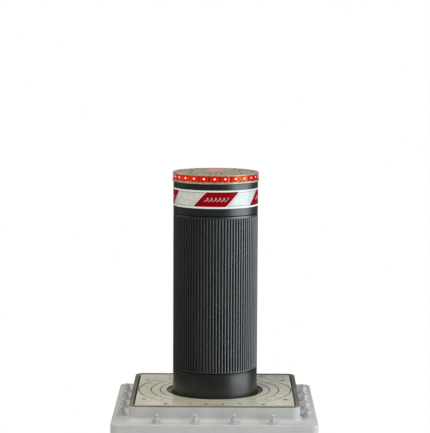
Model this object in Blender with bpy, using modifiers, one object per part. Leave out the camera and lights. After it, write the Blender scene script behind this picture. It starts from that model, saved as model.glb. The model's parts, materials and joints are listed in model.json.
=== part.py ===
"""Automatic retractable street bollard with its buried casing, for Blender 4.5.

A hydraulic ram lifts a fluted steel post out of a square steel casing that is buried to the rim.
Heights in this file are measured from the paving level, metres, +Z up. The whole object hangs from
one empty at that level, PIT_DEPTH above the casing's underside, where the origin is.
"""

import math

import bmesh
import bpy

# ---- driving dimensions, metres ----
GAP = 0.0003  # left between pieces that rest on or fit into each other
RISE = 0.700  # how far the post travels
PIT_DEPTH = 1.150  # paving level to the casing's underside

POST_RADIUS = 0.135  # over the flutes and both plain collars
TUBE_RADIUS = 0.129
TUBE_WALL = 0.006
HEAD_RADIUS = 0.1375
HEAD_TOP = 0.706
HEAD_BOTTOM = 0.677
FLUTE_COUNT = 86
FLUTE_DEPTH = 0.0024
FLUTES_BOTTOM = 0.077
FLUTES_TOP = 0.574
SHADOW_JOINT = 0.003  # the open groove at each end of the fluted sleeve
BAND_BOTTOM = 0.600
BAND_TOP = 0.657
BAND_RECESS = 0.001
LENS_BOTTOM = 0.683
LENS_TOP = 0.702
LENS_DEPTH = 0.004
LED_COUNT = 24

PLATE_HALF = 0.248
PLATE_THICK = 0.008
PLATE_HOLE = 0.1545
PLATE_GAP = 0.006  # dark joint between the cover plate and the rim
RIM_WALL = 0.0115
RIM_PROUD = 0.001
FLANGE_HALF = 0.320
FLANGE_DROP = 0.046  # paving level to the top of the bolting flange
FLANGE_THICK = 0.010
FLANGE_CORNER = 0.022
SKIRT_DEPTH = 0.040  # the foot's edge is turned down this far
SKIRT_WALL = 0.008
CASING_HALF = 0.280
CASING_WALL = 0.004
CASING_CORNER = 0.008
STUD_LINE = 0.292
STUD_PITCH = 0.120
STUD_RADIUS = 0.007
STUD_HEIGHT = 0.027
SCREW_HOLE = 0.0045
DRAIN_RADIUS = 0.040  # the drain and the conduit cross the casing's wall
DRAIN_HEIGHT = -1.075
CONDUIT_RADIUS = 0.025
CONDUIT_HEIGHT = -0.200
SCREW_NEAR = 0.152  # the cover screws lie at (near, far) and (far, near) in each quarter
SCREW_FAR = 0.222

GUIDE_THICK = 0.010
GUIDE_BORE = 0.1423
GUIDE_DEPTH = 0.200
COLUMN_OFFSET = 0.131
COLUMN_RADIUS = 0.012
BUSH_RADIUS = 0.020
POST_FLANGE_TOP = -0.2143
POST_FLANGE_THICK = 0.012
BASE_TOP = -0.985
BASE_THICK = 0.012
BULKHEAD_BOTTOM = 0.640
BULKHEAD_THICK = 0.012

ROD_RADIUS = 0.020
BORE_RADIUS = 0.025
BARREL_RADIUS = 0.035
BARREL_BOTTOM = -0.160
PISTON_BOTTOM = -0.145
PIN_HEIGHT = -0.930
PIN_RADIUS = 0.012
PLUG_OFFSET = 0.057  # the release plug and its valve lie behind the post's axis
PLUG_RADIUS = 0.027
SEAT_DEPTH = 0.008
THROAT_RADIUS = 0.022
MOTOR_OFFSET = 0.080
MOTOR_TOP = 0.500
MOTOR_RADIUS = 0.040
TANK_RADIUS = 0.038
SHAFT_RADIUS = 0.0065
PUMP_BOTTOM = 0.540
PUMP_TOP = 0.5847

# ---- sizes that follow from them ----
POST_FLANGE_BOTTOM = POST_FLANGE_TOP - POST_FLANGE_THICK
RIM_INNER = PLATE_HALF + PLATE_GAP
RIM_OUTER = RIM_INNER + RIM_WALL
GUIDE_TOP = -PLATE_THICK - GAP
LEDGE_TOP = GUIDE_TOP - GUIDE_THICK - GAP
FOOT_BOTTOM = -FLANGE_DROP - SKIRT_DEPTH
FLANGE_BOTTOM = FOOT_BOTTOM - GAP - FLANGE_THICK
CASING_TOP = FOOT_BOTTOM - GAP
TUBE_BORE = TUBE_RADIUS - TUBE_WALL
SLEEVE_BORE = TUBE_RADIUS + GAP
BULKHEAD_TOP = BULKHEAD_BOTTOM + BULKHEAD_THICK
SCREW_PLACES = [
    (sx * x, sy * y)
    for x, y in ((SCREW_NEAR, SCREW_FAR), (SCREW_FAR, SCREW_NEAR))
    for sx in (-1, 1)
    for sy in (-1, 1)
]
STUD_STEPS = [STUD_PITCH * step for step in (-1.5, -0.5, 0.5, 1.5)]
STUD_PLACES = (
    [(x, -STUD_LINE) for x in STUD_STEPS]
    + [(STUD_LINE, y) for y in STUD_STEPS]
    + [(x, STUD_LINE) for x in reversed(STUD_STEPS)]
    + [(-STUD_LINE, y) for y in reversed(STUD_STEPS)]
)
CORNERS = [(-1, -1), (1, -1), (1, 1), (-1, 1)]

# name: (colour, roughness, metallic)
FINISHES = {
    "anthracite_paint": ((0.022, 0.024, 0.025), 0.45, 0.0),
    "cast_aluminium": ((0.33, 0.32, 0.29), 0.45, 1.0),
    "red_lens": ((0.60, 0.01, 0.005), 0.20, 0.0),
    "led_strip": ((0.75, 0.30, 0.05), 0.50, 0.0),
    "band_film": ((0.45, 0.02, 0.03), 0.30, 0.0),
    "stainless_plate": ((0.55, 0.53, 0.44), 0.35, 1.0),
    "light_grey_steel": ((0.42, 0.42, 0.43), 0.50, 0.0),
    "galvanised_steel": ((0.40, 0.41, 0.42), 0.50, 0.8),
    "machined_steel": ((0.35, 0.35, 0.36), 0.40, 1.0),
    "chromed_steel": ((0.60, 0.60, 0.62), 0.10, 1.0),
    "black_rubber": ((0.015, 0.015, 0.015), 0.80, 0.0),
    "grey_wiper": ((0.13, 0.12, 0.10), 0.75, 0.0),
    "white_nylon": ((0.70, 0.69, 0.64), 0.50, 0.0),
    "red_plastic": ((0.65, 0.06, 0.04), 0.35, 0.0),
    "blue_grey_enamel": ((0.08, 0.12, 0.17), 0.40, 0.0),
    "grey_plastic": ((0.30, 0.31, 0.32), 0.50, 0.0),
}


# ---- scene, materials and collections ----
def clear_scene():
    for old in list(bpy.data.objects):
        bpy.data.objects.remove(old, do_unlink=True)


def new_collection(name):
    made = bpy.data.collections.new(name)
    bpy.context.scene.collection.children.link(made)
    return made


def finish_material(name):
    """The named finish as a Principled material, made once."""
    made = bpy.data.materials.get(name)
    if made is None:
        colour, roughness, metallic = FINISHES[name]
        made = bpy.data.materials.new(name)
        made.use_nodes = True
        shader = made.node_tree.nodes["Principled BSDF"]
        shader.inputs["Base Color"].default_value = (*colour, 1.0)
        shader.inputs["Roughness"].default_value = roughness
        shader.inputs["Metallic"].default_value = metallic
    return made


def empty(name, location, parent=None):
    made = bpy.data.objects.new(name, None)
    made.location = location
    made.parent = parent
    PARTS.objects.link(made)
    return made


def keep(obj, finish, parent, location=(0, 0, 0)):
    """Puts a finished piece in the parts collection, with its material, under its parent empty."""
    obj.parent = parent
    obj.location = location
    obj.data.materials.append(finish_material(finish))
    PARTS.objects.link(obj)
    return obj


def helper(obj, parent, location=(0, 0, 0)):
    """Puts a cutter or a piece to be joined out of the render."""
    obj.parent = parent
    obj.location = location
    obj.hide_render = True
    obj.display_type = "WIRE"
    HELPERS.objects.link(obj)
    return obj


def boolean(obj, other, operation):
    step = obj.modifiers.new(operation.lower(), "BOOLEAN")
    step.operation = operation
    step.solver = "EXACT"
    step.object = other


# ---- outlines, lists of (x, y) ----
def circle(radius, sides, centre=(0, 0), turn=0.0):
    angles = [turn + math.tau * i / sides for i in range(sides)]
    return [(centre[0] + radius * math.cos(a), centre[1] + radius * math.sin(a)) for a in angles]


def rounded_square(half, corner, steps=3):
    """A square of 2 x half a side with quarter-round corners."""
    points = []
    for quarter, (sx, sy) in enumerate([(1, 1), (-1, 1), (-1, -1), (1, -1)]):
        centre = (sx * (half - corner), sy * (half - corner))
        for step in range(steps + 1):
            a = math.pi / 2 * (quarter + step / steps)
            points.append((centre[0] + corner * math.cos(a), centre[1] + corner * math.sin(a)))
    return points


def fluted_circle():
    """Flat-topped ribs on POST_RADIUS with a V groove between each two."""
    pitch = math.tau / FLUTE_COUNT
    shape = ((-0.25, 0.0), (0.25, 0.0), (0.5, FLUTE_DEPTH))
    points = []
    for flute in range(FLUTE_COUNT):
        for share, depth in shape:
            a = pitch * (flute + share)
            radius = POST_RADIUS - depth
            points.append((radius * math.cos(a), radius * math.sin(a)))
    return points


# ---- solids ----
def shade_round(mesh):
    """Smooth shading, with the edges that turn by more than 35 degrees kept sharp."""
    mesh.shade_smooth()
    mesh.set_sharp_from_angle(angle=math.radians(35))


def turned(name, profile, steps=48):
    """A profile of (radius, height) turned about Z. It runs down its outer side; one that keeps off
    the axis is closed into a ring."""
    mesh = bpy.data.meshes.new(name)
    points = [(radius, 0.0, height) for radius, height in profile]
    edges = [(i, i + 1) for i in range(len(points) - 1)]
    if profile[0][0] > 0:
        edges.append((len(points) - 1, 0))
    mesh.from_pydata(points, edges, [])
    obj = bpy.data.objects.new(name, mesh)
    screw = obj.modifiers.new("turn", "SCREW")
    screw.steps = screw.render_steps = steps
    screw.use_merge_vertices = True
    screw.merge_threshold = 0.00001
    bpy.context.scene.collection.objects.link(obj)
    graph = bpy.context.evaluated_depsgraph_get()
    solid = bpy.data.meshes.new_from_object(obj.evaluated_get(graph))
    bpy.data.objects.remove(obj)
    solid.name = name
    shade_round(solid)
    return bpy.data.objects.new(name, solid)


def plate(name, outline, holes, bottom, top):
    """A flat outline with holes, as a mesh from bottom to top."""
    curve = bpy.data.curves.new(name, "CURVE")
    curve.dimensions = "2D"
    curve.fill_mode = "BOTH"
    curve.extrude = (top - bottom) / 2
    for points in [outline, *holes]:
        spline = curve.splines.new("POLY")
        spline.points.add(len(points) - 1)
        for point, (x, y) in zip(spline.points, points):
            point.co = (x, y, 0, 1)
        spline.use_cyclic_u = True
    drawn = bpy.data.objects.new(name + "_outline", curve)
    bpy.context.scene.collection.objects.link(drawn)
    graph = bpy.context.evaluated_depsgraph_get()
    mesh = bpy.data.meshes.new_from_object(drawn.evaluated_get(graph))
    bpy.data.objects.remove(drawn)
    shell = bmesh.new()
    shell.from_mesh(mesh)
    bmesh.ops.remove_doubles(shell, verts=shell.verts, dist=0.00001)
    bmesh.ops.translate(shell, verts=shell.verts, vec=(0, 0, (bottom + top) / 2))
    bmesh.ops.recalc_face_normals(shell, faces=shell.faces)
    shell.to_mesh(mesh)
    shell.free()
    mesh.name = name
    return bpy.data.objects.new(name, mesh)


def mesh_object(name, shell):
    mesh = bpy.data.meshes.new(name)
    shell.to_mesh(mesh)
    shell.free()
    return bpy.data.objects.new(name, mesh)


def box(name, low, high, bevel=0.0):
    shell = bmesh.new()
    bmesh.ops.create_cube(shell, size=1.0)
    bmesh.ops.scale(shell, verts=shell.verts, vec=[b - a for a, b in zip(low, high)])
    bmesh.ops.translate(shell, verts=shell.verts, vec=[(a + b) / 2 for a, b in zip(low, high)])
    obj = mesh_object(name, shell)
    if bevel:
        soften = obj.modifiers.new("soften", "BEVEL")
        soften.width = bevel
        soften.segments = 2
        soften.limit_method = "ANGLE"
    return obj


def rod(name, radius, bottom, top, sides=24, axis="Z"):
    """A plain cylinder along Z, or laid along X or Y from bottom to top of that axis."""
    shell = bmesh.new()
    bmesh.ops.create_cone(
        shell, cap_ends=True, segments=sides, radius1=radius, radius2=radius, depth=top - bottom
    )
    bmesh.ops.translate(shell, verts=shell.verts, vec=(0, 0, (bottom + top) / 2))
    obj = mesh_object(name, shell)
    if sides > 8:
        shade_round(obj.data)
    if axis == "X":
        obj.rotation_euler = (0, math.pi / 2, 0)
    if axis == "Y":
        obj.rotation_euler = (-math.pi / 2, 0, 0)
    return obj


def pipe(name, route, radius):
    """A bent tube whose corners are rounded arcs; route is its corner points."""
    curve = bpy.data.curves.new(name, "CURVE")
    curve.dimensions = "3D"
    curve.bevel_depth = radius
    curve.bevel_resolution = 2
    curve.use_fill_caps = True
    points = rounded_route(route, 3.5 * radius)
    spline = curve.splines.new("POLY")
    spline.points.add(len(points) - 1)
    for point, place in zip(spline.points, points):
        point.co = (*place, 1)
    return bpy.data.objects.new(name, curve)


def rounded_route(route, bend, steps=6):
    """The route with each right-angled corner replaced by an arc of radius bend."""
    points = [route[0]]
    for before, corner, after in zip(route, route[1:], route[2:]):
        back = [(b - c) for b, c in zip(before, corner)]
        ahead = [(a - c) for a, c in zip(after, corner)]
        back = [v / math.hypot(*back) for v in back]
        ahead = [v / math.hypot(*ahead) for v in ahead]
        for step in range(steps + 1):
            a = math.pi / 2 * step / steps
            along_back = bend * (1 - math.sin(a))
            along_ahead = bend * (1 - math.cos(a))
            points.append(
                tuple(c + along_back * u + along_ahead * v for c, u, v in zip(corner, back, ahead))
            )
    points.append(route[-1])
    return points


def many(name, makers, parent):
    """Several closed solids in one helper mesh, for one Boolean."""
    shell = bmesh.new()
    for make, location in makers:
        single = make()
        start = len(shell.verts)
        shell.from_mesh(single.data)
        shell.verts.ensure_lookup_table()
        bmesh.ops.translate(shell, verts=shell.verts[start:], vec=location)
        bpy.data.objects.remove(single)
    return helper(mesh_object(name, shell), parent)


# ---- the buried casing ----
def casing_shell(root):
    """Folded and welded sheet box, open at the top, with a drain and a conduit hole in its walls."""
    shell = bmesh.new()
    bmesh.ops.create_cube(shell, size=1.0)
    height = CASING_TOP + PIT_DEPTH
    bmesh.ops.scale(shell, verts=shell.verts, vec=(2 * CASING_HALF, 2 * CASING_HALF, height))
    bmesh.ops.translate(shell, verts=shell.verts, vec=(0, 0, CASING_TOP - height / 2))
    lid = [face for face in shell.faces if face.normal.z > 0.9]
    bmesh.ops.delete(shell, geom=lid, context="FACES")
    upright = [edge for edge in shell.edges if edge.verts[0].co.z != edge.verts[1].co.z]
    bmesh.ops.bevel(
        shell, geom=upright, offset=CASING_CORNER, segments=2, affect="EDGES", profile=0.5
    )
    obj = mesh_object("casing_shell", shell)
    sheet = obj.modifiers.new("sheet", "SOLIDIFY")
    sheet.thickness = CASING_WALL
    sheet.offset = -1
    sheet.use_even_offset = True
    for name, radius, place, axis in (
        ("drain_cut", DRAIN_RADIUS, (CASING_HALF, 0, DRAIN_HEIGHT), "X"),
        ("conduit_cut", CONDUIT_RADIUS, (0, CASING_HALF, CONDUIT_HEIGHT), "Y"),
    ):
        cutter = rod(name, radius + GAP, -0.04, 0.04, axis=axis)
        boolean(obj, helper(cutter, root, place), "DIFFERENCE")
    keep(obj, "galvanised_steel", root)


def wall_stubs(root):
    """The drain and cable conduit stubs that pass through the casing wall."""
    start, length = CASING_HALF - 0.018, 0.056
    for name, outer, wall, place, turn in (
        ("drain_pipe", DRAIN_RADIUS, 0.004, (start, 0, DRAIN_HEIGHT), (0, math.pi / 2, 0)),
        ("conduit_pipe", CONDUIT_RADIUS, 0.003, (0, start, CONDUIT_HEIGHT), (-math.pi / 2, 0, 0)),
    ):
        inner = outer - wall
        profile = [(inner, length), (outer, length), (outer, 0.0), (inner, 0.0)]
        stub = keep(turned(name, profile, steps=24), "grey_plastic", root, place)
        stub.rotation_euler = turn


def casing_flange(root):
    """The flange welded round the casing, with its studs. Each stud's flange nut is joined to it."""
    obj = plate(
        "casing_flange",
        rounded_square(FLANGE_HALF, FLANGE_CORNER),
        [rounded_square(CASING_HALF + GAP, CASING_CORNER + GAP, 2)],
        FLANGE_BOTTOM,
        FLANGE_BOTTOM + FLANGE_THICK,
    )
    studs = [(stud, (*place, 0)) for place in STUD_PLACES]
    nuts = [(flange_nut, (*place, 0)) for place in STUD_PLACES]
    boolean(obj, many("studs", studs, root), "UNION")
    boolean(obj, many("flange_nuts", nuts, root), "UNION")
    keep(obj, "galvanised_steel", root)


def stud():
    bottom = FLANGE_BOTTOM + FLANGE_THICK / 2
    return rod("stud", STUD_RADIUS, bottom, STUD_HEIGHT - FLANGE_DROP, sides=8)


def flange_nut():
    """A hexagon nut that stands on the frame's foot."""
    seat = -FLANGE_DROP + GAP
    return rod("flange_nut", 0.0137, seat, seat + 0.0166, sides=6)


def top_frame(root):
    """The upstand around the cover plate, on a bolting foot, with the ledge that the plate rests on.
    The foot's edge is turned down as a skirt, and stands on the casing's flange."""
    obj = plate(
        "top_frame",
        rounded_square(FLANGE_HALF, FLANGE_CORNER),
        [rounded_square(RIM_INNER + 0.004, 0.010)]
        + [circle(STUD_RADIUS + 0.0005, 8, place) for place in STUD_PLACES],
        -FLANGE_DROP - FLANGE_THICK,
        -FLANGE_DROP,
    )
    skirt = plate(
        "skirt",
        rounded_square(FLANGE_HALF, FLANGE_CORNER),
        [rounded_square(FLANGE_HALF - SKIRT_WALL, FLANGE_CORNER - SKIRT_WALL)],
        FOOT_BOTTOM,
        -FLANGE_DROP - FLANGE_THICK / 2,
    )
    neck = plate(
        "neck",
        rounded_square(RIM_OUTER, 0.018),
        [rounded_square(RIM_INNER, 0.010)],
        FOOT_BOTTOM,
        RIM_PROUD,
    )
    boolean(obj, helper(skirt, root), "UNION")
    ledge = plate(
        "ledge",
        rounded_square(RIM_INNER + 0.004, 0.012),
        [rounded_square(0.212, 0.010)] + [circle(SCREW_HOLE, 8, place) for place in SCREW_PLACES],
        LEDGE_TOP - 0.010,
        LEDGE_TOP,
    )
    boolean(obj, helper(neck, root), "UNION")
    boolean(obj, helper(ledge, root), "UNION")
    keep(obj, "light_grey_steel", root)


def cover_plate(root):
    """The stainless plate at paving level, with a countersunk hole for each of its screws."""
    obj = plate(
        "cover_plate",
        rounded_square(PLATE_HALF, 0.008),
        [circle(PLATE_HOLE, 48)] + [circle(SCREW_HOLE, 8, place) for place in SCREW_PLACES],
        -PLATE_THICK,
        0,
    )
    sinks = [(countersink, (*place, 0)) for place in SCREW_PLACES]
    boolean(obj, many("countersinks", sinks, root), "DIFFERENCE")
    keep(obj, "stainless_plate", root)


def countersink():
    """A cone from the head's rim down to the screw's clearance hole."""
    shell = bmesh.new()
    bmesh.ops.create_cone(
        shell, cap_ends=True, segments=8, radius1=0.0040, radius2=0.0095, depth=0.0055
    )
    bmesh.ops.translate(shell, verts=shell.verts, vec=(0, 0, -0.00175))
    return mesh_object("countersink", shell)


def cover_screws(root):
    """Countersunk socket screws, through the plate and the guide flange into the ledge."""
    profile = [(0, -0.0003), (0.0079, -0.0003), (0.0038, -0.0044), (0.0038, -0.028), (0, -0.028)]
    for number, place in enumerate(SCREW_PLACES, start=1):
        screw = turned(f"cover_screw_{number}", profile, steps=8)
        socket = rod(f"socket_{number}", 0.0029, -0.0035, 0.002, sides=6)
        boolean(screw, helper(socket, root, (*place, 0)), "DIFFERENCE")
        keep(screw, "machined_steel", root, (*place, 0))


def guide_parts(root):
    """The removable guide: flanged housing, two nylon rings, wiper, and the rubber upper stop."""
    flange = plate(
        "guide_housing",
        rounded_square(PLATE_HALF, 0.008),
        [circle(GUIDE_BORE, 48)] + [circle(SCREW_HOLE, 8, place) for place in SCREW_PLACES],
        GUIDE_TOP - GUIDE_THICK,
        GUIDE_TOP,
    )
    wall = 0.0077
    sleeve = turned(
        "housing_tube",
        [
            (GUIDE_BORE, GUIDE_TOP - GUIDE_THICK + 0.004),
            (GUIDE_BORE + wall, GUIDE_TOP - GUIDE_THICK + 0.004),
            (GUIDE_BORE + wall, -GUIDE_DEPTH),
            (GUIDE_BORE, -GUIDE_DEPTH),
        ],
    )
    boolean(flange, helper(sleeve, root), "UNION")
    keep(flange, "galvanised_steel", root)
    for name, inner, outer, bottom, top, finish in (
        ("wiper_ring", HEAD_RADIUS + 0.001, PLATE_HOLE - GAP, GUIDE_TOP + GAP, -0.003, "grey_wiper"),
        ("upper_guide_ring", POST_RADIUS + 0.0006, GUIDE_BORE - GAP, -0.060, -0.030, "white_nylon"),
        ("lower_guide_ring", POST_RADIUS + 0.0006, GUIDE_BORE - GAP, -0.190, -0.160, "white_nylon"),
        (
            "upper_stop_ring",
            POST_RADIUS + 0.004,
            GUIDE_BORE + wall,
            POST_FLANGE_TOP + GAP,
            -GUIDE_DEPTH - GAP,
            "black_rubber",
        ),
    ):
        profile = [(inner, top), (outer, top), (outer, bottom), (inner, bottom)]
        keep(turned(name, profile), finish, root)


def guide_columns(root):
    """Four round columns from the guide flange to the base plate."""
    top = GUIDE_TOP - GUIDE_THICK - GAP
    for number, (sx, sy) in enumerate(CORNERS, start=1):
        column = rod(f"guide_column_{number}", COLUMN_RADIUS, BASE_TOP + GAP, top, sides=16)
        keep(column, "machined_steel", root, (sx * COLUMN_OFFSET, sy * COLUMN_OFFSET, 0))


def base_parts(root):
    """The base plate with its rubber bumpers, the ram's anchor fork and pin, and a limit sensor."""
    drains = [circle(0.022, 16, (sx * 0.085, sy * 0.085)) for sx, sy in CORNERS]
    base = plate(
        "base_plate", rounded_square(0.165, 0.015), drains, BASE_TOP - BASE_THICK, BASE_TOP
    )
    keep(base, "galvanised_steel", root)
    bumper_top = POST_FLANGE_BOTTOM - RISE - GAP
    bumper_radius = 0.022
    for number, (x, y) in enumerate(circle(0.130, 4), start=1):
        profile = [
            (0, bumper_top),
            (bumper_radius - 0.004, bumper_top),
            (bumper_radius, bumper_top - 0.006),
            (bumper_radius, BASE_TOP + GAP),
            (0, BASE_TOP + GAP),
        ]
        keep(turned(f"bottom_bumper_{number}", profile, 12), "black_rubber", root, (x, y, 0))
    foot_top, foot_radius = BASE_TOP + 0.015, 0.050
    anchor = turned(
        "rod_anchor",
        [(0, foot_top), (foot_radius, foot_top), (foot_radius, BASE_TOP + GAP), (0, BASE_TOP + GAP)],
        24,
    )
    reach = 2 * PIN_RADIUS  # how far each ear goes past the pin's axis
    for side in (-1, 1):
        near, far = sorted((side * (ROD_RADIUS + 0.001), side * (ROD_RADIUS + 0.013)))
        low, high = (near, -reach, BASE_TOP + 0.006), (far, reach, PIN_HEIGHT + reach)
        boolean(anchor, helper(box(f"ear_{side}", low, high), root), "UNION")
    bore = rod("anchor_bore", PIN_RADIUS + GAP, -0.06, 0.06, axis="X")
    boolean(anchor, helper(bore, root, (0, 0, PIN_HEIGHT)), "DIFFERENCE")
    keep(anchor, "galvanised_steel", root)
    pin = rod("anchor_pin", PIN_RADIUS, -0.042, 0.042, axis="X")
    keep(pin, "machined_steel", root, (0, 0, PIN_HEIGHT))
    sensor_top, sensor_radius = BASE_TOP + 0.051, 0.009
    profile = [
        (0, sensor_top),
        (sensor_radius - 0.002, sensor_top),
        (sensor_radius, sensor_top - 0.002),
        (sensor_radius, BASE_TOP + GAP),
        (0, BASE_TOP + GAP),
    ]
    keep(turned("limit_sensor", profile, 12), "machined_steel", root, (0.070, 0.140, 0))


def junction_box(root):
    """The cable box on the casing's inner wall, with a cable gland below, and its lid."""
    back = -(CASING_HALF - CASING_WALL) + GAP
    depth, half, bottom, top, wall = 0.050, 0.060, -0.250, -0.150, 0.003
    front = back + depth
    case = box("junction_box", (back, -half, bottom), (front, half, top), bevel=wall)
    hollow = box(
        "box_hollow",
        (back + wall, wall - half, bottom + wall),
        (front + 0.01, half - wall, top - wall),
    )
    gland = rod("cable_gland", 0.011, bottom - 0.020, bottom + 0.002, sides=12)
    gland_bore = rod("gland_bore", 0.006, bottom - 0.025, bottom + 0.010, sides=12)
    gland_place = (back + depth / 2, 0, 0)
    boolean(case, helper(gland, root, gland_place), "UNION")
    boolean(case, helper(hollow, root), "DIFFERENCE")
    boolean(case, helper(gland_bore, root, gland_place), "DIFFERENCE")
    keep(case, "grey_plastic", root)
    lid = box("junction_lid", (front + GAP, -half, bottom), (front + 0.006, half, top), bevel=0.002)
    keep(lid, "grey_plastic", root)


def piston_rod(root):
    """The chromed rod, pinned to the base, with its piston inside the barrel."""
    piston_radius, piston_top = BORE_RADIUS - GAP, PISTON_BOTTOM + 0.040
    eye_bottom = PIN_HEIGHT - 0.026
    profile = [
        (0, piston_top),
        (piston_radius - 0.0012, piston_top),
        (piston_radius, piston_top - 0.002),
        (piston_radius, PISTON_BOTTOM),
        (ROD_RADIUS, PISTON_BOTTOM),
        (ROD_RADIUS, eye_bottom + 0.004),
        (ROD_RADIUS - 0.004, eye_bottom),
        (0, eye_bottom),
    ]
    obj = turned("piston_rod", profile, 24)
    bore = rod("rod_eye", PIN_RADIUS + GAP, -0.04, 0.04, axis="X")
    boolean(obj, helper(bore, root, (0, 0, PIN_HEIGHT)), "DIFFERENCE")
    keep(obj, "chromed_steel", root)


# ---- the rising post ----
def post_tube(post):
    """The steel tube, with the bulkhead under the head that the ram pushes on."""
    profile = [
        (0, BULKHEAD_TOP),
        (TUBE_BORE, BULKHEAD_TOP),
        (TUBE_BORE, HEAD_BOTTOM - GAP),
        (TUBE_RADIUS, HEAD_BOTTOM - GAP),
        (TUBE_RADIUS, POST_FLANGE_BOTTOM),
        (TUBE_BORE, POST_FLANGE_BOTTOM),
        (TUBE_BORE, BULKHEAD_BOTTOM),
        (0, BULKHEAD_BOTTOM),
    ]
    obj = turned("post_tube", profile)
    hole = rod("spindle_hole", 0.010, BULKHEAD_BOTTOM - 0.010, BULKHEAD_TOP + 0.010)
    boolean(obj, helper(hole, post, (0, PLUG_OFFSET, 0)), "DIFFERENCE")
    keep(obj, "anthracite_paint", post)


def post_flange(post):
    """The square flange at the tube's foot, with a nylon bush on each guide column."""
    places = [(sx * COLUMN_OFFSET, sy * COLUMN_OFFSET) for sx, sy in CORNERS]
    holes = [circle(SLEEVE_BORE, 48)] + [circle(BUSH_RADIUS + GAP, 16, p) for p in places]
    outline = rounded_square(0.160, 0.022)
    obj = plate("post_flange", outline, holes, POST_FLANGE_BOTTOM, POST_FLANGE_TOP)
    keep(obj, "galvanised_steel", post)
    top, bottom = POST_FLANGE_TOP + 0.004, POST_FLANGE_BOTTOM
    for number, place in enumerate(places, start=1):
        profile = [
            (COLUMN_RADIUS + 0.0008, top),
            (BUSH_RADIUS, top),
            (BUSH_RADIUS, bottom),
            (COLUMN_RADIUS + 0.0008, bottom),
        ]
        keep(turned(f"guide_bush_{number}", profile, 16), "white_nylon", post, (*place, 0))


def post_jacket(post):
    """What shows of the post: plain lower collar, fluted sleeve, and the upper collar with its band."""
    collar_top = FLUTES_BOTTOM - SHADOW_JOINT
    lower = [
        (SLEEVE_BORE, collar_top),
        (POST_RADIUS - 0.0015, collar_top),
        (POST_RADIUS, collar_top - 0.0015),
        (POST_RADIUS, POST_FLANGE_TOP + GAP),
        (SLEEVE_BORE, POST_FLANGE_TOP + GAP),
    ]
    keep(turned("lower_collar", lower), "anthracite_paint", post)
    sleeve = plate(
        "fluted_sleeve", fluted_circle(), [circle(SLEEVE_BORE, FLUTE_COUNT)], FLUTES_BOTTOM, FLUTES_TOP
    )
    keep(sleeve, "anthracite_paint", post)
    recess = POST_RADIUS - BAND_RECESS
    collar_bottom = FLUTES_TOP + SHADOW_JOINT
    upper = [
        (SLEEVE_BORE, HEAD_BOTTOM - 0.001),
        (POST_RADIUS - 0.001, HEAD_BOTTOM - 0.001),
        (POST_RADIUS, HEAD_BOTTOM - 0.002),
        (POST_RADIUS, BAND_TOP + GAP),
        (recess, BAND_TOP + GAP),
        (recess, BAND_BOTTOM - GAP),
        (POST_RADIUS, BAND_BOTTOM - GAP),
        (POST_RADIUS, collar_bottom + 0.0015),
        (POST_RADIUS - 0.0015, collar_bottom),
        (SLEEVE_BORE, collar_bottom),
    ]
    keep(turned("upper_collar", upper), "anthracite_paint", post)
    band = [
        (recess + GAP, BAND_TOP),
        (POST_RADIUS, BAND_TOP),
        (POST_RADIUS, BAND_BOTTOM),
        (recess + GAP, BAND_BOTTOM),
    ]
    keep(turned("reflective_band", band), "band_film", post)


# ---- the head ----
def head_cap(post):
    """The aluminium lid, grooved for the lamps, with a stepped hole for the release plug."""
    profile = [
        (0, HEAD_TOP),
        (HEAD_RADIUS - 0.0015, HEAD_TOP),
        (HEAD_RADIUS, HEAD_TOP - 0.0015),
        (HEAD_RADIUS, LENS_TOP),
        (0.127, LENS_TOP),
        (0.127, LENS_BOTTOM),
        (HEAD_RADIUS, LENS_BOTTOM),
        (HEAD_RADIUS, HEAD_BOTTOM + 0.001),
        (HEAD_RADIUS - 0.001, HEAD_BOTTOM),
        (TUBE_BORE - 0.0005, HEAD_BOTTOM),
        (TUBE_BORE - 0.0005, BULKHEAD_TOP + 0.004),
        (0.110, BULKHEAD_TOP + 0.004),
        (0.110, HEAD_TOP - 0.012),
        (0, HEAD_TOP - 0.012),
    ]
    obj = turned("head_cap", profile)
    seat = rod("plug_seat", PLUG_RADIUS + 0.0004, HEAD_TOP - SEAT_DEPTH, HEAD_TOP + 0.010, 24)
    throat = rod("plug_throat", THROAT_RADIUS, HEAD_TOP - 0.020, HEAD_TOP, 24)
    boolean(obj, helper(seat, post, (0, PLUG_OFFSET, 0)), "DIFFERENCE")
    boolean(obj, helper(throat, post, (0, PLUG_OFFSET, 0)), "DIFFERENCE")
    keep(obj, "cast_aluminium", post)


def head_lamps(post):
    """The strip of lamps in the head's groove, behind its red lens."""
    middle = (LENS_TOP + LENS_BOTTOM) / 2
    ring = [(0.1273, 0.0065), (0.1288, 0.0065), (0.1288, -0.0065), (0.1273, -0.0065)]
    strip = turned("led_strip", ring)
    lamps = []
    for number in range(LED_COUNT):
        lamps.append((lambda turn=math.tau * number / LED_COUNT: lamp_block(turn), (0, 0, 0)))
    blocks = many("lamp_blocks", lamps, post)
    blocks.location = (0, 0, middle)
    boolean(strip, blocks, "UNION")
    keep(strip, "led_strip", post, (0, 0, middle))
    outer = HEAD_RADIUS - 0.0005
    lens = [
        (outer - LENS_DEPTH, LENS_TOP - GAP),
        (outer, LENS_TOP - GAP),
        (outer, LENS_BOTTOM + GAP),
        (outer - LENS_DEPTH, LENS_BOTTOM + GAP),
    ]
    keep(turned("led_lens", lens), "red_lens", post)


def lamp_block(turn):
    """One lamp body, standing out of the strip at that angle."""
    block = box("lamp", (0.1281, -0.0026, -0.0026), (0.1308, 0.0026, 0.0026))
    shell = bmesh.new()
    shell.from_mesh(block.data)
    c, s = math.cos(turn), math.sin(turn)
    for vert in shell.verts:
        vert.co = (c * vert.co.x - s * vert.co.y, s * vert.co.x + c * vert.co.y, vert.co.z)
    shell.to_mesh(block.data)
    shell.free()
    return block


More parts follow.
